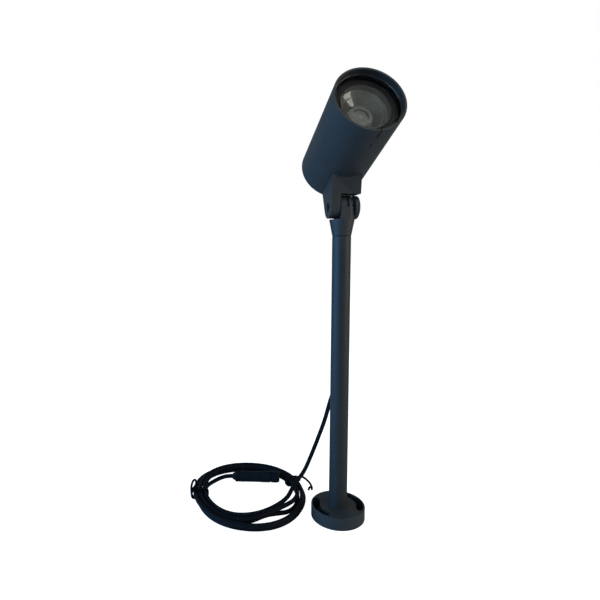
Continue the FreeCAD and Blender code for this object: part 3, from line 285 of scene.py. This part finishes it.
class SpotlightFinish(bpy.types.PropertyGroup):
    """Colours and surfaces."""

    coat: FloatVectorProperty(
        name="Powder coat", description="Colour of the coated metal", subtype="COLOR",
        size=3, min=0, max=1, default=(0.020, 0.023, 0.024),
    )
    coat_roughness: FloatProperty(
        name="Coat roughness", description="Roughness of the coated metal", subtype="FACTOR",
        default=0.52, min=0, max=1,
    )
    rubber: FloatVectorProperty(
        name="Rubber", description="Colour of the cord", subtype="COLOR", size=3, min=0, max=1,
        default=(0.0055, 0.0080, 0.0105),
    )
    nylon: FloatVectorProperty(
        name="Nylon", description="Colour of the gland and the connector", subtype="COLOR", size=3,
        min=0, max=1, default=(0.0080, 0.0120, 0.0165),
    )
    steel: FloatVectorProperty(
        name="Steel", description="Colour of the snap ring", subtype="COLOR", size=3, min=0, max=1,
        default=(0.19, 0.19, 0.185),
    )


class SpotlightSizes(bpy.types.PropertyGroup):
    """Sizes that the frame leaves open."""

    edge: FloatProperty(
        name="Edge", description="Rounding of coated edges", unit="LENGTH", precision=4,
        default=0.0004, min=0.0001, max=0.001,
    )
    steps: IntProperty(
        name="Steps", description="Sides of a turned piece", default=128, min=48, max=256,
    )
    ribs: IntProperty(
        name="Ribs", description="Grip ribs of the connector's nut", default=16, min=8, max=32,
    )
    tie_wire: FloatProperty(
        name="Tie wire", description="Thickness of the wire ties", unit="LENGTH", precision=4,
        default=0.0033, min=0.0010, max=0.0040,
    )


# --- Materials ------------------------------------------------------------------------------------

# The Mix node's sockets for colours.
MIX_FIRST = 6
MIX_SECOND = 7
MIX_RESULT = 2

BASE_PAINTED_LIGHT = 1.5       # painted light: how much lighter the base's copy of the coat is than the rest of the coat
GLASS_INDEX = 1.14       # low, so that the glass mirrors as little as in the photograph
LACQUER_INDEX = 1.7


def plain(colour):
    """Return a colour with its alpha."""
    return (*colour, 1.0)


class Surface:
    """A node material that is built step by step on Object coordinates."""

    def __init__(self, name, roughness, metallic=0.0):
        self.material = bpy.data.materials.new(name)
        self.material.use_nodes = True
        self.nodes = self.material.node_tree.nodes
        self.links = self.material.node_tree.links
        self.shader = self.nodes["Principled BSDF"]
        self.shader.inputs["Roughness"].default_value = roughness
        self.shader.inputs["Metallic"].default_value = metallic
        self.place = self.nodes.new("ShaderNodeTexCoord")

    def noise(self, scale, detail=3.0, roughness=0.5, stretch=None):
        """Return a noise of so many cells in a metre, which may be turned and stretched."""
        texture = self.nodes.new("ShaderNodeTexNoise")
        texture.inputs["Scale"].default_value = scale
        texture.inputs["Detail"].default_value = detail
        texture.inputs["Roughness"].default_value = roughness
        source = self.place.outputs["Object"]
        if stretch is not None:
            turn, size = stretch
            mapping = self.nodes.new("ShaderNodeMapping")
            mapping.inputs["Rotation"].default_value = turn
            mapping.inputs["Scale"].default_value = size
            self.links.new(source, mapping.inputs["Vector"])
            source = mapping.outputs["Vector"]
        self.links.new(source, texture.inputs["Vector"])
        return texture.outputs["Fac"]

    def spread(self, source, low, high, start=0.3, end=0.7):
        """Stretch a pattern between two numbers."""
        node = self.nodes.new("ShaderNodeMapRange")
        node.inputs["From Min"].default_value = start
        node.inputs["From Max"].default_value = end
        node.inputs["To Min"].default_value = low
        node.inputs["To Max"].default_value = high
        self.links.new(source, node.inputs["Value"])
        return node.outputs["Result"]

    def blend(self, factor, first, second):
        """Mix two colours or links by a pattern."""
        node = self.nodes.new("ShaderNodeMix")
        node.data_type = "RGBA"
        self.links.new(factor, node.inputs["Factor"])
        for number, colour in ((MIX_FIRST, first), (MIX_SECOND, second)):
            if isinstance(colour, tuple):
                node.inputs[number].default_value = plain(colour)
            else:
                self.links.new(colour, node.inputs[number])
        return node.outputs[MIX_RESULT]

    def colour(self, source):
        """Let a link set the colour."""
        self.links.new(source, self.shader.inputs["Base Color"])

    def roughness(self, source):
        """Let a link set the roughness."""
        self.links.new(source, self.shader.inputs["Roughness"])

    def bump(self, source, depth, strength=1.0, under=None):
        """Raise a pattern by a depth in metres."""
        node = self.nodes.new("ShaderNodeBump")
        node.inputs["Strength"].default_value = strength
        node.inputs["Distance"].default_value = depth
        self.links.new(source, node.inputs["Height"])
        if under is not None:
            self.links.new(under, node.inputs["Normal"])
        self.links.new(node.outputs["Normal"], self.shader.inputs["Normal"])
        return node.outputs["Normal"]


def shade(colour, share):
    """Return a colour made lighter or darker."""
    return tuple(min(1.0, part * share) for part in colour)


def powder_coat(name, colour, roughness):
    """Fine textured powder coat: broad unevenness, fine grain and an orange peel."""
    surface = Surface(name, roughness)
    broad = surface.spread(surface.noise(38.0, 4.0), 0.0, 1.0)
    grain = surface.spread(surface.noise(2600.0, 2.0), 0.0, 1.0, 0.42, 0.62)
    body = surface.blend(broad, shade(colour, 0.86), shade(colour, 1.12))
    fleck = surface.blend(grain, shade(colour, 0.80), shade(colour, 1.35))
    soft = surface.spread(surface.noise(420.0, 2.0), 0.25, 0.55)
    surface.colour(surface.blend(soft, body, fleck))
    surface.roughness(surface.spread(surface.noise(900.0, 3.0), roughness - 0.05, roughness + 0.07))
    peel = surface.bump(surface.noise(620.0, 2.0), 0.00006, 0.5)
    surface.bump(surface.noise(2400.0, 2.0), 0.00003, 0.6, peel)
    surface.shader.inputs["Specular IOR Level"].default_value = 0.36
    return surface.material


def rubber(name, colour):
    """Matt rubber with faint dust and a fine skin."""
    surface = Surface(name, 0.5)
    dust = surface.spread(surface.noise(120.0, 5.0, 0.6), 0.0, 0.55, 0.45, 0.75)
    surface.colour(surface.blend(dust, colour, shade(colour, 2.3)))
    surface.roughness(surface.spread(surface.noise(300.0, 3.0), 0.40, 0.58))
    skin = surface.bump(surface.noise(260.0, 2.0), 0.00012, 0.35)
    surface.bump(surface.noise(3000.0, 2.0), 0.00003, 0.5, skin)
    surface.shader.inputs["Specular IOR Level"].default_value = 0.05
    return surface.material


def moulded(name, colour, roughness=0.42, grain=0.00003, gloss=0.06):
    """Moulded plastic with a fine spark-eroded grain."""
    surface = Surface(name, roughness)
    broad = surface.spread(surface.noise(70.0, 3.0), 0.0, 1.0)
    surface.colour(surface.blend(broad, shade(colour, 0.88), shade(colour, 1.15)))
    surface.roughness(surface.spread(surface.noise(500.0, 3.0), roughness - 0.06, roughness + 0.06))
    surface.bump(surface.noise(3200.0, 3.0), grain, 0.7)
    surface.shader.inputs["Specular IOR Level"].default_value = gloss
    return surface.material


def brushed(name, colour, roughness, turn=(0.0, 0.0, 0.0)):
    """Metal with fine lines that lie square to one axis, which may be turned."""
    surface = Surface(name, roughness, 1.0)
    lines = surface.noise(180.0, 4.0, 0.6, (turn, (1.0, 1.0, 40.0)))
    share = surface.spread(lines, 0.0, 1.0)
    surface.colour(surface.blend(share, shade(colour, 0.82), shade(colour, 1.1)))
    surface.roughness(surface.spread(lines, roughness - 0.07, roughness + 0.1))
    surface.bump(lines, 0.00002, 0.5)
    return surface.material


def clear_glass(name):
    """Clear glass with a faint green tint and a trace of dust."""
    surface = Surface(name, 0.02)
    surface.shader.inputs["Transmission Weight"].default_value = 1.0
    surface.shader.inputs["IOR"].default_value = GLASS_INDEX
    dust = surface.spread(surface.noise(160.0, 5.0, 0.65), 0.0, 1.0, 0.5, 0.8)
    surface.colour(surface.blend(dust, (0.90, 0.92, 0.90), (0.84, 0.86, 0.84)))
    surface.roughness(surface.spread(surface.noise(220.0, 4.0), 0.01, 0.05, 0.5, 0.8))
    return surface.material


def bright_reflector(name):
    """Aluminised plastic under a clear lacquer, a little uneven."""
    surface = Surface(name, 0.4, 0.35)
    wave = surface.spread(surface.noise(90.0, 2.0), 0.0, 1.0)
    surface.colour(surface.blend(wave, (0.12, 0.116, 0.10), (0.175, 0.17, 0.148)))
    surface.roughness(surface.spread(surface.noise(240.0, 3.0), 0.34, 0.50))
    surface.shader.inputs["Coat Weight"].default_value = 1.0
    surface.shader.inputs["Coat IOR"].default_value = LACQUER_INDEX
    surface.shader.inputs["Coat Roughness"].default_value = 0.03
    surface.bump(surface.noise(260.0, 1.0), 0.0004, 0.4)
    return surface.material


def phosphor(name):
    """The LED's phosphor, seen through its silicone."""
    surface = Surface(name, 0.25)
    dots = surface.spread(surface.noise(900.0, 2.0), 0.0, 1.0)
    surface.colour(surface.blend(dots, (0.24, 0.24, 0.215), (0.30, 0.30, 0.27)))
    surface.bump(surface.noise(1400.0, 2.0), 0.00004, 0.5)
    surface.shader.inputs["Coat Weight"].default_value = 0.6
    return surface.material


def make_materials():
    """Make every finish once and return them by name."""
    finish = bpy.context.scene.spotlight_finish
    coat = tuple(finish.coat)
    head = (-HEAD_TURN, 0.0, 0.0)
    return {
        "coat": powder_coat("anthracite_powder_coat", coat, finish.coat_roughness),
        # painted light: the base takes a lighter copy of the same powder coat
        "base": powder_coat("base_powder_coat_painted_light", shade(coat, BASE_PAINTED_LIGHT), finish.coat_roughness),
        "rubber": rubber("black_cord_rubber", tuple(finish.rubber)),
        "nylon": moulded("black_nylon", tuple(finish.nylon)),
        "steel": brushed("satin_snap_ring_steel", tuple(finish.steel), 0.26, head),
        "black_oxide": brushed("black_oxide_steel", (0.035, 0.036, 0.040), 0.38),
        "glass": clear_glass("clear_front_glass"),
        "mask": moulded("matt_black_mask", (0.0030, 0.0032, 0.0030), 0.6, gloss=0.1),
        "reflector": bright_reflector("bright_reflector"),
        "holder": moulded("smoky_led_holder", (0.24, 0.24, 0.22), 0.28, gloss=0.5),
        "phosphor": phosphor("led_phosphor"),
        "aluminium": brushed("bare_aluminium", (0.60, 0.61, 0.62), 0.36, head),
        "driver": moulded("grey_potted_driver", (0.13, 0.135, 0.14), 0.5, 0.00006),
        "wire": moulded("red_silicone_wire", (0.30, 0.02, 0.015), 0.4),
        "tie": moulded("black_tie_coating", (0.0035, 0.0045, 0.0055), 0.34),
    }


made_finishes = {}


def finish_named(key):
    """Return a finish, made on first use."""
    if not made_finishes:
        made_finishes.update(make_materials())
    return made_finishes[key]


# --- Making pieces --------------------------------------------------------------------------------

def keep(shape, name, finish, body, replaced):
    """Turn a bmesh into a smooth piece that rides on a body."""
    data = bpy.data.meshes.new(name)
    shape.to_mesh(data)
    shape.free()
    piece = bpy.data.objects.new(name, data)
    bpy.context.scene.collection.objects.link(piece)
    settle(piece, finish, body, replaced)
    data.shade_smooth()
    weighted = piece.modifiers.new("even_normals", "WEIGHTED_NORMAL")
    weighted.keep_sharp = True
    weighted.weight = 90


def settle(piece, finish, body, replaced):
    """Give a piece its finish and its body, and hide the nodes that it stands for."""
    piece.data.materials.append(finish_named(finish))
    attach(piece, body)
    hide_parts(*replaced)


def turned(profile, steps, angle=math.tau, closed=False):
    """Spin an outline of radius and height, in millimetres, about Z."""
    shape = bmesh.new()
    points = [shape.verts.new((radius * MM, 0.0, height * MM)) for radius, height in profile]
    lines = [shape.edges.new(pair) for pair in zip(points, points[1:])]
    if closed:
        lines.append(shape.edges.new((points[-1], points[0])))
    whole = math.isclose(angle, math.tau)
    bmesh.ops.spin(
        shape, geom=points + lines, cent=(0, 0, 0), axis=(0, 0, 1), angle=angle, steps=steps,
        use_merge=whole, use_duplicate=False,
    )
    bmesh.ops.remove_doubles(shape, verts=shape.verts, dist=WELD)
    if not whole:
        rims = [edge for edge in shape.edges if edge.is_boundary]
        bmesh.ops.holes_fill(shape, edges=rims, sides=0)
    bmesh.ops.recalc_face_normals(shape, faces=shape.faces)
    return shape


def soften(shape, width, angle=30.0, segments=2):
    """Round every edge that is sharper than an angle; the width is in metres."""
    limit = math.radians(angle)
    sharp = [edge for edge in shape.edges if edge.is_manifold and edge.calc_face_angle(0.0) > limit]
    bmesh.ops.bevel(
        shape, geom=sharp, offset=width, offset_type="OFFSET", segments=segments, profile=0.5,
        affect="EDGES", clamp_overlap=True, material=-1,
    )


def place(shape, matrix):
    """Move a bmesh to where its piece belongs."""
    bmesh.ops.transform(shape, matrix=matrix, verts=shape.verts)


def machined(node, name, finish, width):
    """Copy a node of the frame, merge its triangles and round its sharp edges."""
    source = frame["nodes"][node]
    shape = bmesh.new()
    shape.from_mesh(source.data)
    bmesh.ops.remove_doubles(shape, verts=shape.verts, dist=FRAME_WELD)
    bmesh.ops.dissolve_limit(
        shape, angle_limit=FLAT_ANGLE, verts=shape.verts, edges=shape.edges,
        use_dissolve_boundaries=False, delimit=set(),
    )
    soften(shape, width)
    keep(shape, name, finish, source["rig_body"], [node])


# --- The cord's line ------------------------------------------------------------------------------

def ease(share):
    """Return a share from 0 to 1 that starts and stops gently."""
    return share * share * (3 - 2 * share)


def coil_size(turns):
    """Return the half width and the height of the coil after a number of turns."""
    pitch = (COIL_OUTER - COIL_START) / COIL_SPIRAL
    if turns <= COIL_SPIRAL:
        return COIL_START + pitch * turns, COIL_HIGH
    if turns <= COIL_SPIRAL + COIL_DROP:
        share = (turns - COIL_SPIRAL) / COIL_DROP
        bulge = COIL_BULGE * math.sin(math.pi * share) ** 2
        return COIL_OUTER + bulge, COIL_HIGH + (COIL_LOW - COIL_HIGH) * ease(share)
    return COIL_OUTER - pitch * (turns - COIL_SPIRAL - COIL_DROP), COIL_LOW


def coil_point(turns, swell=1.0):
    """Return a point of the coil, which winds clockwise seen from above."""
    half_width, height = coil_size(turns)
    for middle, reach, shift, lift in COIL_SLACK:
        eased = ease(max(0.0, 1.0 - abs(turns - middle) / reach))
        half_width += shift * eased
        height += lift * eased
    angle = math.radians(COIL_FIRST - 360 * turns)
    across = half_width * swell * math.cos(angle)
    deep = half_width * swell * COIL_STRETCH * math.sin(angle)
    return COIL_CENTRE + Vector((across, deep, height))


def coil_heading(turns):
    """Return the level direction in which the coil winds on."""
    step = 0.002
    heading = coil_point(turns + step) - coil_point(turns - step)
    heading.z = 0.0
    return heading.normalized()


def cord_route():
    """Return the cord's control points from the gland's mouth to the connector, in millimetres."""
    swell = 1 / math.cos(math.pi / COIL_POINTS)
    points = [GLAND_MOUTH, GLAND_MOUTH + EXIT_DIRECTION * LEAD_START_RUN]
    points += [Vector(point) for point in LEAD_POINTS]
    points.append(coil_point(0) - coil_heading(0) * LEAD_END_RUN)
    count = round(COIL_TURNS * COIL_POINTS)
    points += [coil_point(COIL_TURNS * index / count, swell) for index in range(count + 1)]
    points.append(coil_point(COIL_TURNS) + coil_heading(COIL_TURNS) * TAIL_START_RUN)
    points += [Vector(point) for point in TAIL_POINTS]
    inlet = connector_point(-CONNECTOR_HALF)
    points += [inlet - connector_heading() * TAIL_END_RUN, inlet]
    return points


def connector_heading():
    """Return the direction from the connector's nut to its cap."""
    return Vector((math.cos(CONNECTOR_TURN), math.sin(CONNECTOR_TURN), 0.0))


def connector_point(along):
    """Return a point of the connector's axis, so many millimetres from its middle."""
    return CONNECTOR_CENTRE + connector_heading() * along


def smooth_curve(name, points, thick, resolution):
    """Return a round NURBS tube along points given in millimetres; it rounds off their corners."""
    data = bpy.data.curves.new(name, "CURVE")
    data.dimensions = "3D"
    data.resolution_u = resolution
    data.bevel_depth = thick / 2
    data.bevel_resolution = 5
    data.use_fill_caps = True
    spline = data.splines.new("NURBS")
    spline.points.add(len(points) - 1)
    for control, point in zip(spline.points, points):
        control.co = (*(point * MM), 1.0)
    spline.order_u = 3
    spline.use_endpoint_u = True
    piece = bpy.data.objects.new(name, data)
    bpy.context.scene.collection.objects.link(piece)
    return piece


def tie_frame(node):
    """Return a tie's middle, outward direction, half width and top, in millimetres."""
    low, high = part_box(node)
    middle = (low + high) / 2 / MM
    outward = Vector((middle.x - COIL_CENTRE.x, (middle.y - COIL_CENTRE.y) / COIL_STRETCH ** 2, 0))
    outward.normalize()
    half = ((high.x - low.x) / MM - TIE_WIDTH * abs(outward.y)) / abs(outward.x) / 2
    return middle, outward, half, high.z / MM


# --- Operators ------------------------------------------------------------------------------------

class SPOTLIGHT_OT_camera(bpy.types.Operator):
    """Set the camera where the photograph was taken"""

    bl_idname = "spotlight.camera"
    bl_label = "Camera"

    def execute(self, context):
        data = bpy.data.cameras.new("photo_camera")
        data.sensor_width = SENSOR_WIDTH
        data.lens = LENS
        data.shift_x, data.shift_y = CAMERA_SHIFT
        data.clip_start, data.clip_end = CAMERA_REACH
        camera = bpy.data.objects.new("photo_camera", data)
        context.scene.collection.objects.link(camera)
        turn = Matrix((CAMERA_RIGHT, CAMERA_UP, -CAMERA_FORWARD)).transposed()
        camera.matrix_world = Matrix.Translation(CAMERA_PLACE) @ turn.to_4x4()
        context.scene.camera = camera
        return {"FINISHED"}


class SPOTLIGHT_OT_connector(bpy.types.Operator):
    """Make the in-line connector: ribbed nut, body and end cap"""

    bl_idname = "spotlight.connector"
    bl_label = "Connector"

    def execute(self, context):
        sizes = context.scene.spotlight_sizes
        turn = connector_heading().to_track_quat("Z", "Y").to_matrix().to_4x4()
        nut = turned(NUT_OUTLINE, sizes.ribs * RIB_SIDES)
        ribs = bmesh.ops.inset_region(
            nut, faces=self.grips(nut, sizes.ribs), thickness=RIB_INSET, depth=RIB_RISE,
        )
        if not ribs["faces"]:
            raise RuntimeError("the nut has no ribs")
        soften(nut, MOULDED_EDGE, angle=35, segments=1)
        body = turned(BODY_OUTLINE, sizes.steps)
        cap = turned(CAP_OUTLINE, sizes.steps)
        along = -CONNECTOR_HALF
        for shape, name, node, length in (
            (nut, "connector_grip_nut", "connector_nut", NUT_LENGTH),
            (body, "connector_shell", "connector_body", BODY_LENGTH),
            (cap, "connector_end_cap", "connector_cap", CAP_LENGTH),
        ):
            place(shape, Matrix.Translation(connector_point(along) * MM) @ turn)
            keep(shape, name, "nylon", "stand", [node])
            along += length
        return {"FINISHED"}

    def grips(self, nut, ribs):
        """Return the faces of the nut's straight part that its ribs stand on."""
        faces = []
        for face in nut.faces:
            centre = face.calc_center_median()
            turns = (math.atan2(centre.y, centre.x) + math.tau) / math.tau
            column = int(turns * ribs * RIB_SIDES) % RIB_SIDES
            if GRIP_START < centre.z / MM < GRIP_END and column < RIB_SIDES / 2:
                faces.append(face)
        return faces


class SPOTLIGHT_OT_ties(bpy.types.Operator):
    """Wrap the wire ties round the coil, with their twisted ends"""

    bl_idname = "spotlight.ties"
    bl_label = "Wire ties"

    def execute(self, context):
        thick = context.scene.spotlight_sizes.tie_wire
        for node, ends in (("tie_left", LEFT_TIE_ENDS), ("tie_right", RIGHT_TIE_ENDS)):
            route = self.route(node, ends, thick / MM)
            piece = smooth_curve(f"wire_{node}", route, thick, resolution=5)
            settle(piece, "tie", "stand", [node])
        return {"FINISHED"}

    def route(self, node, ends, wire):
        """Return a tie's points: its wraps round the coil's strands, then its twisted ends."""
        middle, outward, half, top = tie_frame(node)
        along = Vector((-outward.y, outward.x, 0))
        left = TIE_BAND + TIE_INSET[node] - half - wire / 2
        right = half - TIE_BAND + wire / 2
        low, high = wire / 2 + TIE_LIFT[node], top - wire / 2 + TIE_LIFT[node]
        loop = (
            (right, (low + high) / 2), (right, high - TIE_CORNER), (right - TIE_CORNER, high),
            (left + TIE_CORNER, high), (left, high - TIE_CORNER), (left, low + TIE_CORNER),
            (left + TIE_CORNER, low), (right - TIE_CORNER, low), (right, low + TIE_CORNER),
        )
        points = []
        for wrap in range(TIE_WRAPS):
            shift = (wrap - (TIE_WRAPS - 1) / 2) * wire * TIE_PITCH
            for index, (across, height) in enumerate(loop):
                slide = shift + index / len(loop) * wire * TIE_PITCH
                points.append(Vector((middle.x, middle.y, height)) + outward * across + along * slide)
        for across, slide, height in ends:
            spot = Vector((middle.x, middle.y, height))
            points.append(spot + outward * (right + across) + along * slide)
        return points


class SPOTLIGHT_OT_cord(bpy.types.Operator):
    """Lay the rubber cord from the gland through the coil to the connector"""

    bl_idname = "spotlight.cord"
    bl_label = "Cord"

    def execute(self, context):
        cord = smooth_curve("supply_cord", cord_route(), CORD_WIDE * MM, resolution=4)
        settle(cord, "rubber", "stand", ["cord_lead", "cord_coil", "cord_tail"])
        return {"FINISHED"}


class SPOTLIGHT_OT_gland(bpy.types.Operator):
    """Make the tapered cable gland with its bending ribs"""

    bl_idname = "spotlight.gland"
    bl_label = "Cable gland"

    def execute(self, context):
        sizes = context.scene.spotlight_sizes
        rows = list(GLAND_COLLAR)
        for index in range(GLAND_RIBS):
            start = GLAND_RIBS_START + index * GLAND_RIB_PITCH
            share = (start - GLAND_RIBS_START) / (GLAND_LENGTH - GLAND_RIBS_START)
            wide = GLAND_RIB_RADIUS - GLAND_TAPER * share
            rows += [(wide - drop, start + along) for drop, along in GLAND_RIB]
        rows += GLAND_END
        shape = turned(rows, sizes.steps // 2, closed=True)
        turn = EXIT_DIRECTION.to_track_quat("Z", "Y").to_matrix().to_4x4()
        start = Vector((0, 0, EXIT_HEIGHT)) + EXIT_DIRECTION * GLAND_SEAT
        place(shape, Matrix.Translation(start * MM) @ turn)
        keep(shape, "ribbed_cable_gland", "nylon", "stand", ["cable_gland"])
        return {"FINISHED"}


class SPOTLIGHT_OT_coated_metal(bpy.types.Operator):
    """Round the edges of the coated metal pieces and coat them"""

    bl_idname = "spotlight.coated_metal"
    bl_label = "Coated metal"

    def execute(self, context):
        edge = context.scene.spotlight_sizes.edge
        # the base gets the lighter copy of the coat, which is painted light
        machined("base_plate", "coated_base", "base", edge)
        for node, name, share in (
            ("pole_tube", "coated_pole", 0.6),
            ("knuckle_post", "coated_swivel_post", 0.9),
            ("head_bracket", "coated_bracket", 1.2),
            ("clamp_disc", "coated_clamp_disc", 0.7),
            ("head_housing", "coated_housing", 0.9),
        ):
            machined(node, name, "coat", edge * share)
        return {"FINISHED"}


class SPOTLIGHT_OT_optics(bpy.types.Operator):
    """Make the snap ring, the stepped reflector, the LED dome and its holder"""

    bl_idname = "spotlight.optics"
    bl_label = "Optics"

    def execute(self, context):
        steps = context.scene.spotlight_sizes.steps
        self.snap_ring(steps)

        cup = [(radius, HEAD_LENGTH - depth) for radius, depth in REFLECTOR_OUTLINE]
        bowl = turned(cup, steps, closed=True)
        soften(bowl, TURNED_EDGE, angle=25)
        place(bowl, HEAD_PLACE)
        keep(bowl, "stepped_reflector", "reflector", "head", ["reflector"])

        board = HEAD_LENGTH - BOARD_DEPTH
        dome = turned([(radius, board + height) for radius, height in DOME_OUTLINE], steps)
        soften(dome, DOME_EDGE, angle=25)
        place(dome, HEAD_PLACE)
        keep(dome, "ringed_led_dome", "phosphor", "head", ["led_chip"])
        machined("led_holder", "stepped_led_holder", "holder", SCREW_EDGE)
        return {"FINISHED"}

    def snap_ring(self, steps):
        """Make the spring ring with its gap."""
        front = HEAD_LENGTH - SNAP_RING_FRONT
        outline = [
            (SNAP_RING_INNER, front - SNAP_RING_THICK), (SNAP_RING_OUTER, front - SNAP_RING_THICK),
            (SNAP_RING_OUTER, front), (SNAP_RING_INNER, front),
        ]
        ring = turned(outline, steps, angle=math.tau - SNAP_RING_GAP, closed=True)
        soften(ring, TURNED_EDGE)
        first = SNAP_RING_GAP_AT + SNAP_RING_GAP / 2
        place(ring, HEAD_PLACE @ Matrix.Rotation(first, 4, "Z"))
        keep(ring, "snap_ring_spring", "steel", "head", ["snap_ring"])


class SPOTLIGHT_OT_small_parts(bpy.types.Operator):
    """Round the pivot bolt's edges, and finish the screws, the mask, the glass and the inner parts"""

    bl_idname = "spotlight.small_parts"
    bl_label = "Small parts"

    def execute(self, context):
        machined("pivot_bolt", "socket_pivot_bolt", "black_oxide", SCREW_EDGE)
        finishes = {
            "black_oxide": ["base_set_screw", "swivel_lock_screw"],
            "steel": ["bracket_screws", "insert_lock_screw"],
            "nylon": ["swivel_bush", "friction_washer"],
            "rubber": ["pole_cable", "cable_grommet", "glass_gasket", "lamp_lead"],
            "glass": ["front_glass"],
            "mask": ["glare_mask"],
            "aluminium": ["heat_sink", "led_board"],
            "holder": ["terminal_block"],
            "driver": ["led_driver"],
            "wire": ["led_wires"],
        }
        for finish, names in finishes.items():
            for name in names:
                node = frame["nodes"][name]
                node.data.materials.clear()
                node.data.materials.append(finish_named(finish))
        return {"FINISHED"}


class SPOTLIGHT_OT_stage(bpy.types.Operator):
    """Make the pale floor, the white room and the lights"""

    bl_idname = "spotlight.stage"
    bl_label = "Stage"

    def execute(self, context):
        self.floor(context.scene)
        self.room(context.scene)
        context.scene.view_settings.view_transform = "Standard"
        for light in LIGHTS:
            self.hang(context.scene, *light)
        return {"FINISHED"}

    def hang(self, scene, name, kind, spot, aim, power, size, colour):
        """Hang a light at a spot and aim it."""
        light = bpy.data.lights.new(name, kind)
        light.energy = power
        light.color = colour
        if kind == "AREA":
            light.size = size
        else:
            light.shadow_soft_size = size
            light.spot_size = LAMP_CONE
        lamp = bpy.data.objects.new(name, light)
        lamp.location = spot
        lamp.rotation_euler = (aim - Vector(spot)).to_track_quat("-Z", "Y").to_euler()
        scene.collection.objects.link(lamp)

    def floor(self, scene):
        """A wide floor that looks white, with a dark disc under the base as a painted shadow."""
        shape = bmesh.new()
        inner = bmesh.ops.create_circle(
            shape, cap_ends=True, segments=FLOOR_SIDES, radius=UNDER_BASE,
        )["verts"]
        outer = bmesh.ops.create_circle(
            shape, cap_ends=False, segments=FLOOR_SIDES, radius=FLOOR_RADIUS,
        )["verts"]
        loops = (set(inner), set(outer))
        rims = [edge for edge in shape.edges if any(set(edge.verts) <= loop for loop in loops)]
        bmesh.ops.bridge_loops(shape, edges=rims)
        for face in shape.faces:
            face.material_index = int(len(face.verts) == FLOOR_SIDES)
        data = bpy.data.meshes.new("pale_floor")
        shape.to_mesh(data)
        shape.free()
        floor = bpy.data.objects.new("pale_floor", data)
        scene.collection.objects.link(floor)
        data.materials.append(self.pale_paper())
        # painted shadow: dark paper where the floor under the base shows through its slots
        shaded = Surface("painted_shadow_paper", 0.9)
        shaded.colour(shaded.blend(shaded.noise(6.0), (0.05, 0.05, 0.05), (0.06, 0.06, 0.06)))
        data.materials.append(shaded.material)

    def pale_paper(self):
        """Paper that is white to the camera and a pale grey to every other ray."""
        paper = Surface("pale_paper", 0.9)
        paper.colour(paper.blend(paper.noise(6.0), (0.80, 0.81, 0.82), (0.84, 0.85, 0.86)))
        paper.shader.inputs["Specular IOR Level"].default_value = 0.0
        rays = paper.nodes.new("ShaderNodeLightPath")
        paper.links.new(rays.outputs["Is Camera Ray"], paper.shader.inputs["Emission Strength"])
        paper.shader.inputs["Emission Color"].default_value = plain((1.0, 1.0, 1.0))
        return paper.material

    def room(self, scene):
        """White behind the object, and for everything else grey walls and a dark ceiling."""
        world = bpy.data.worlds.new("white_room")
        world.use_nodes = True
        nodes, links = world.node_tree.nodes, world.node_tree.links
        white = nodes["Background"]
        white.inputs["Color"].default_value = plain((1.0, 1.0, 1.0))
        walls = nodes.new("ShaderNodeBackground")
        place = nodes.new("ShaderNodeTexCoord")
        split = nodes.new("ShaderNodeSeparateXYZ")
        height = nodes.new("ShaderNodeMapRange")
        height.inputs["From Min"].default_value = -1.0
        height.inputs["From Max"].default_value = 1.0
        ramp = nodes.new("ShaderNodeValToRGB")
        ramp.color_ramp.elements[0].color = plain(FLOOR_GLOW)
        ramp.color_ramp.elements[1].color = plain(CEILING_GLOW)
        ramp.color_ramp.elements.new(WALL_HEIGHT).color = plain(WALL_GLOW)
        rays = nodes.new("ShaderNodeLightPath")
        mix = nodes.new("ShaderNodeMixShader")
        links.new(place.outputs["Generated"], split.inputs[0])
        links.new(split.outputs["Z"], height.inputs["Value"])
        links.new(height.outputs["Result"], ramp.inputs["Fac"])
        links.new(ramp.outputs["Color"], walls.inputs["Color"])
        links.new(rays.outputs["Is Camera Ray"], mix.inputs[0])
        links.new(walls.outputs[0], mix.inputs[1])
        links.new(white.outputs[0], mix.inputs[2])
        links.new(mix.outputs[0], nodes["World Output"].inputs["Surface"])
        scene.world = world


class SPOTLIGHT_PT_panel(bpy.types.Panel):
    """The spotlight's pieces in the sidebar"""

    bl_label = "Spotlight"
    bl_idname = "SPOTLIGHT_PT_panel"
    bl_space_type = "VIEW_3D"
    bl_region_type = "UI"
    bl_category = "Spotlight"

    def draw(self, context):
        layout = self.layout
        for group in (context.scene.spotlight_finish, context.scene.spotlight_sizes):
            for name in group.__annotations__:
                layout.prop(group, name)
        for operator in OPERATORS:
            layout.operator(operator.bl_idname)


GROUPS = (SpotlightFinish, SpotlightSizes)
OPERATORS = (
    SPOTLIGHT_OT_camera,
    SPOTLIGHT_OT_connector,
    SPOTLIGHT_OT_ties,
    SPOTLIGHT_OT_cord,
    SPOTLIGHT_OT_gland,
    SPOTLIGHT_OT_coated_metal,
    SPOTLIGHT_OT_optics,
    SPOTLIGHT_OT_small_parts,
    SPOTLIGHT_OT_stage,
)
CLASSES = (*GROUPS, *OPERATORS, SPOTLIGHT_PT_panel)


def register():
    for item in CLASSES:
        bpy.utils.register_class(item)
    bpy.types.Scene.spotlight_finish = PointerProperty(type=SpotlightFinish)
    bpy.types.Scene.spotlight_sizes = PointerProperty(type=SpotlightSizes)


def unregister():
    del bpy.types.Scene.spotlight_sizes
    del bpy.types.Scene.spotlight_finish
    for item in reversed(CLASSES):
        bpy.utils.unregister_class(item)


def main():
    """Make every piece in turn."""
    register()
    for operator in OPERATORS:
        group, action = operator.bl_idname.split(".")
        getattr(getattr(bpy.ops, group), action)()


if __name__ == "__main__":
    main()
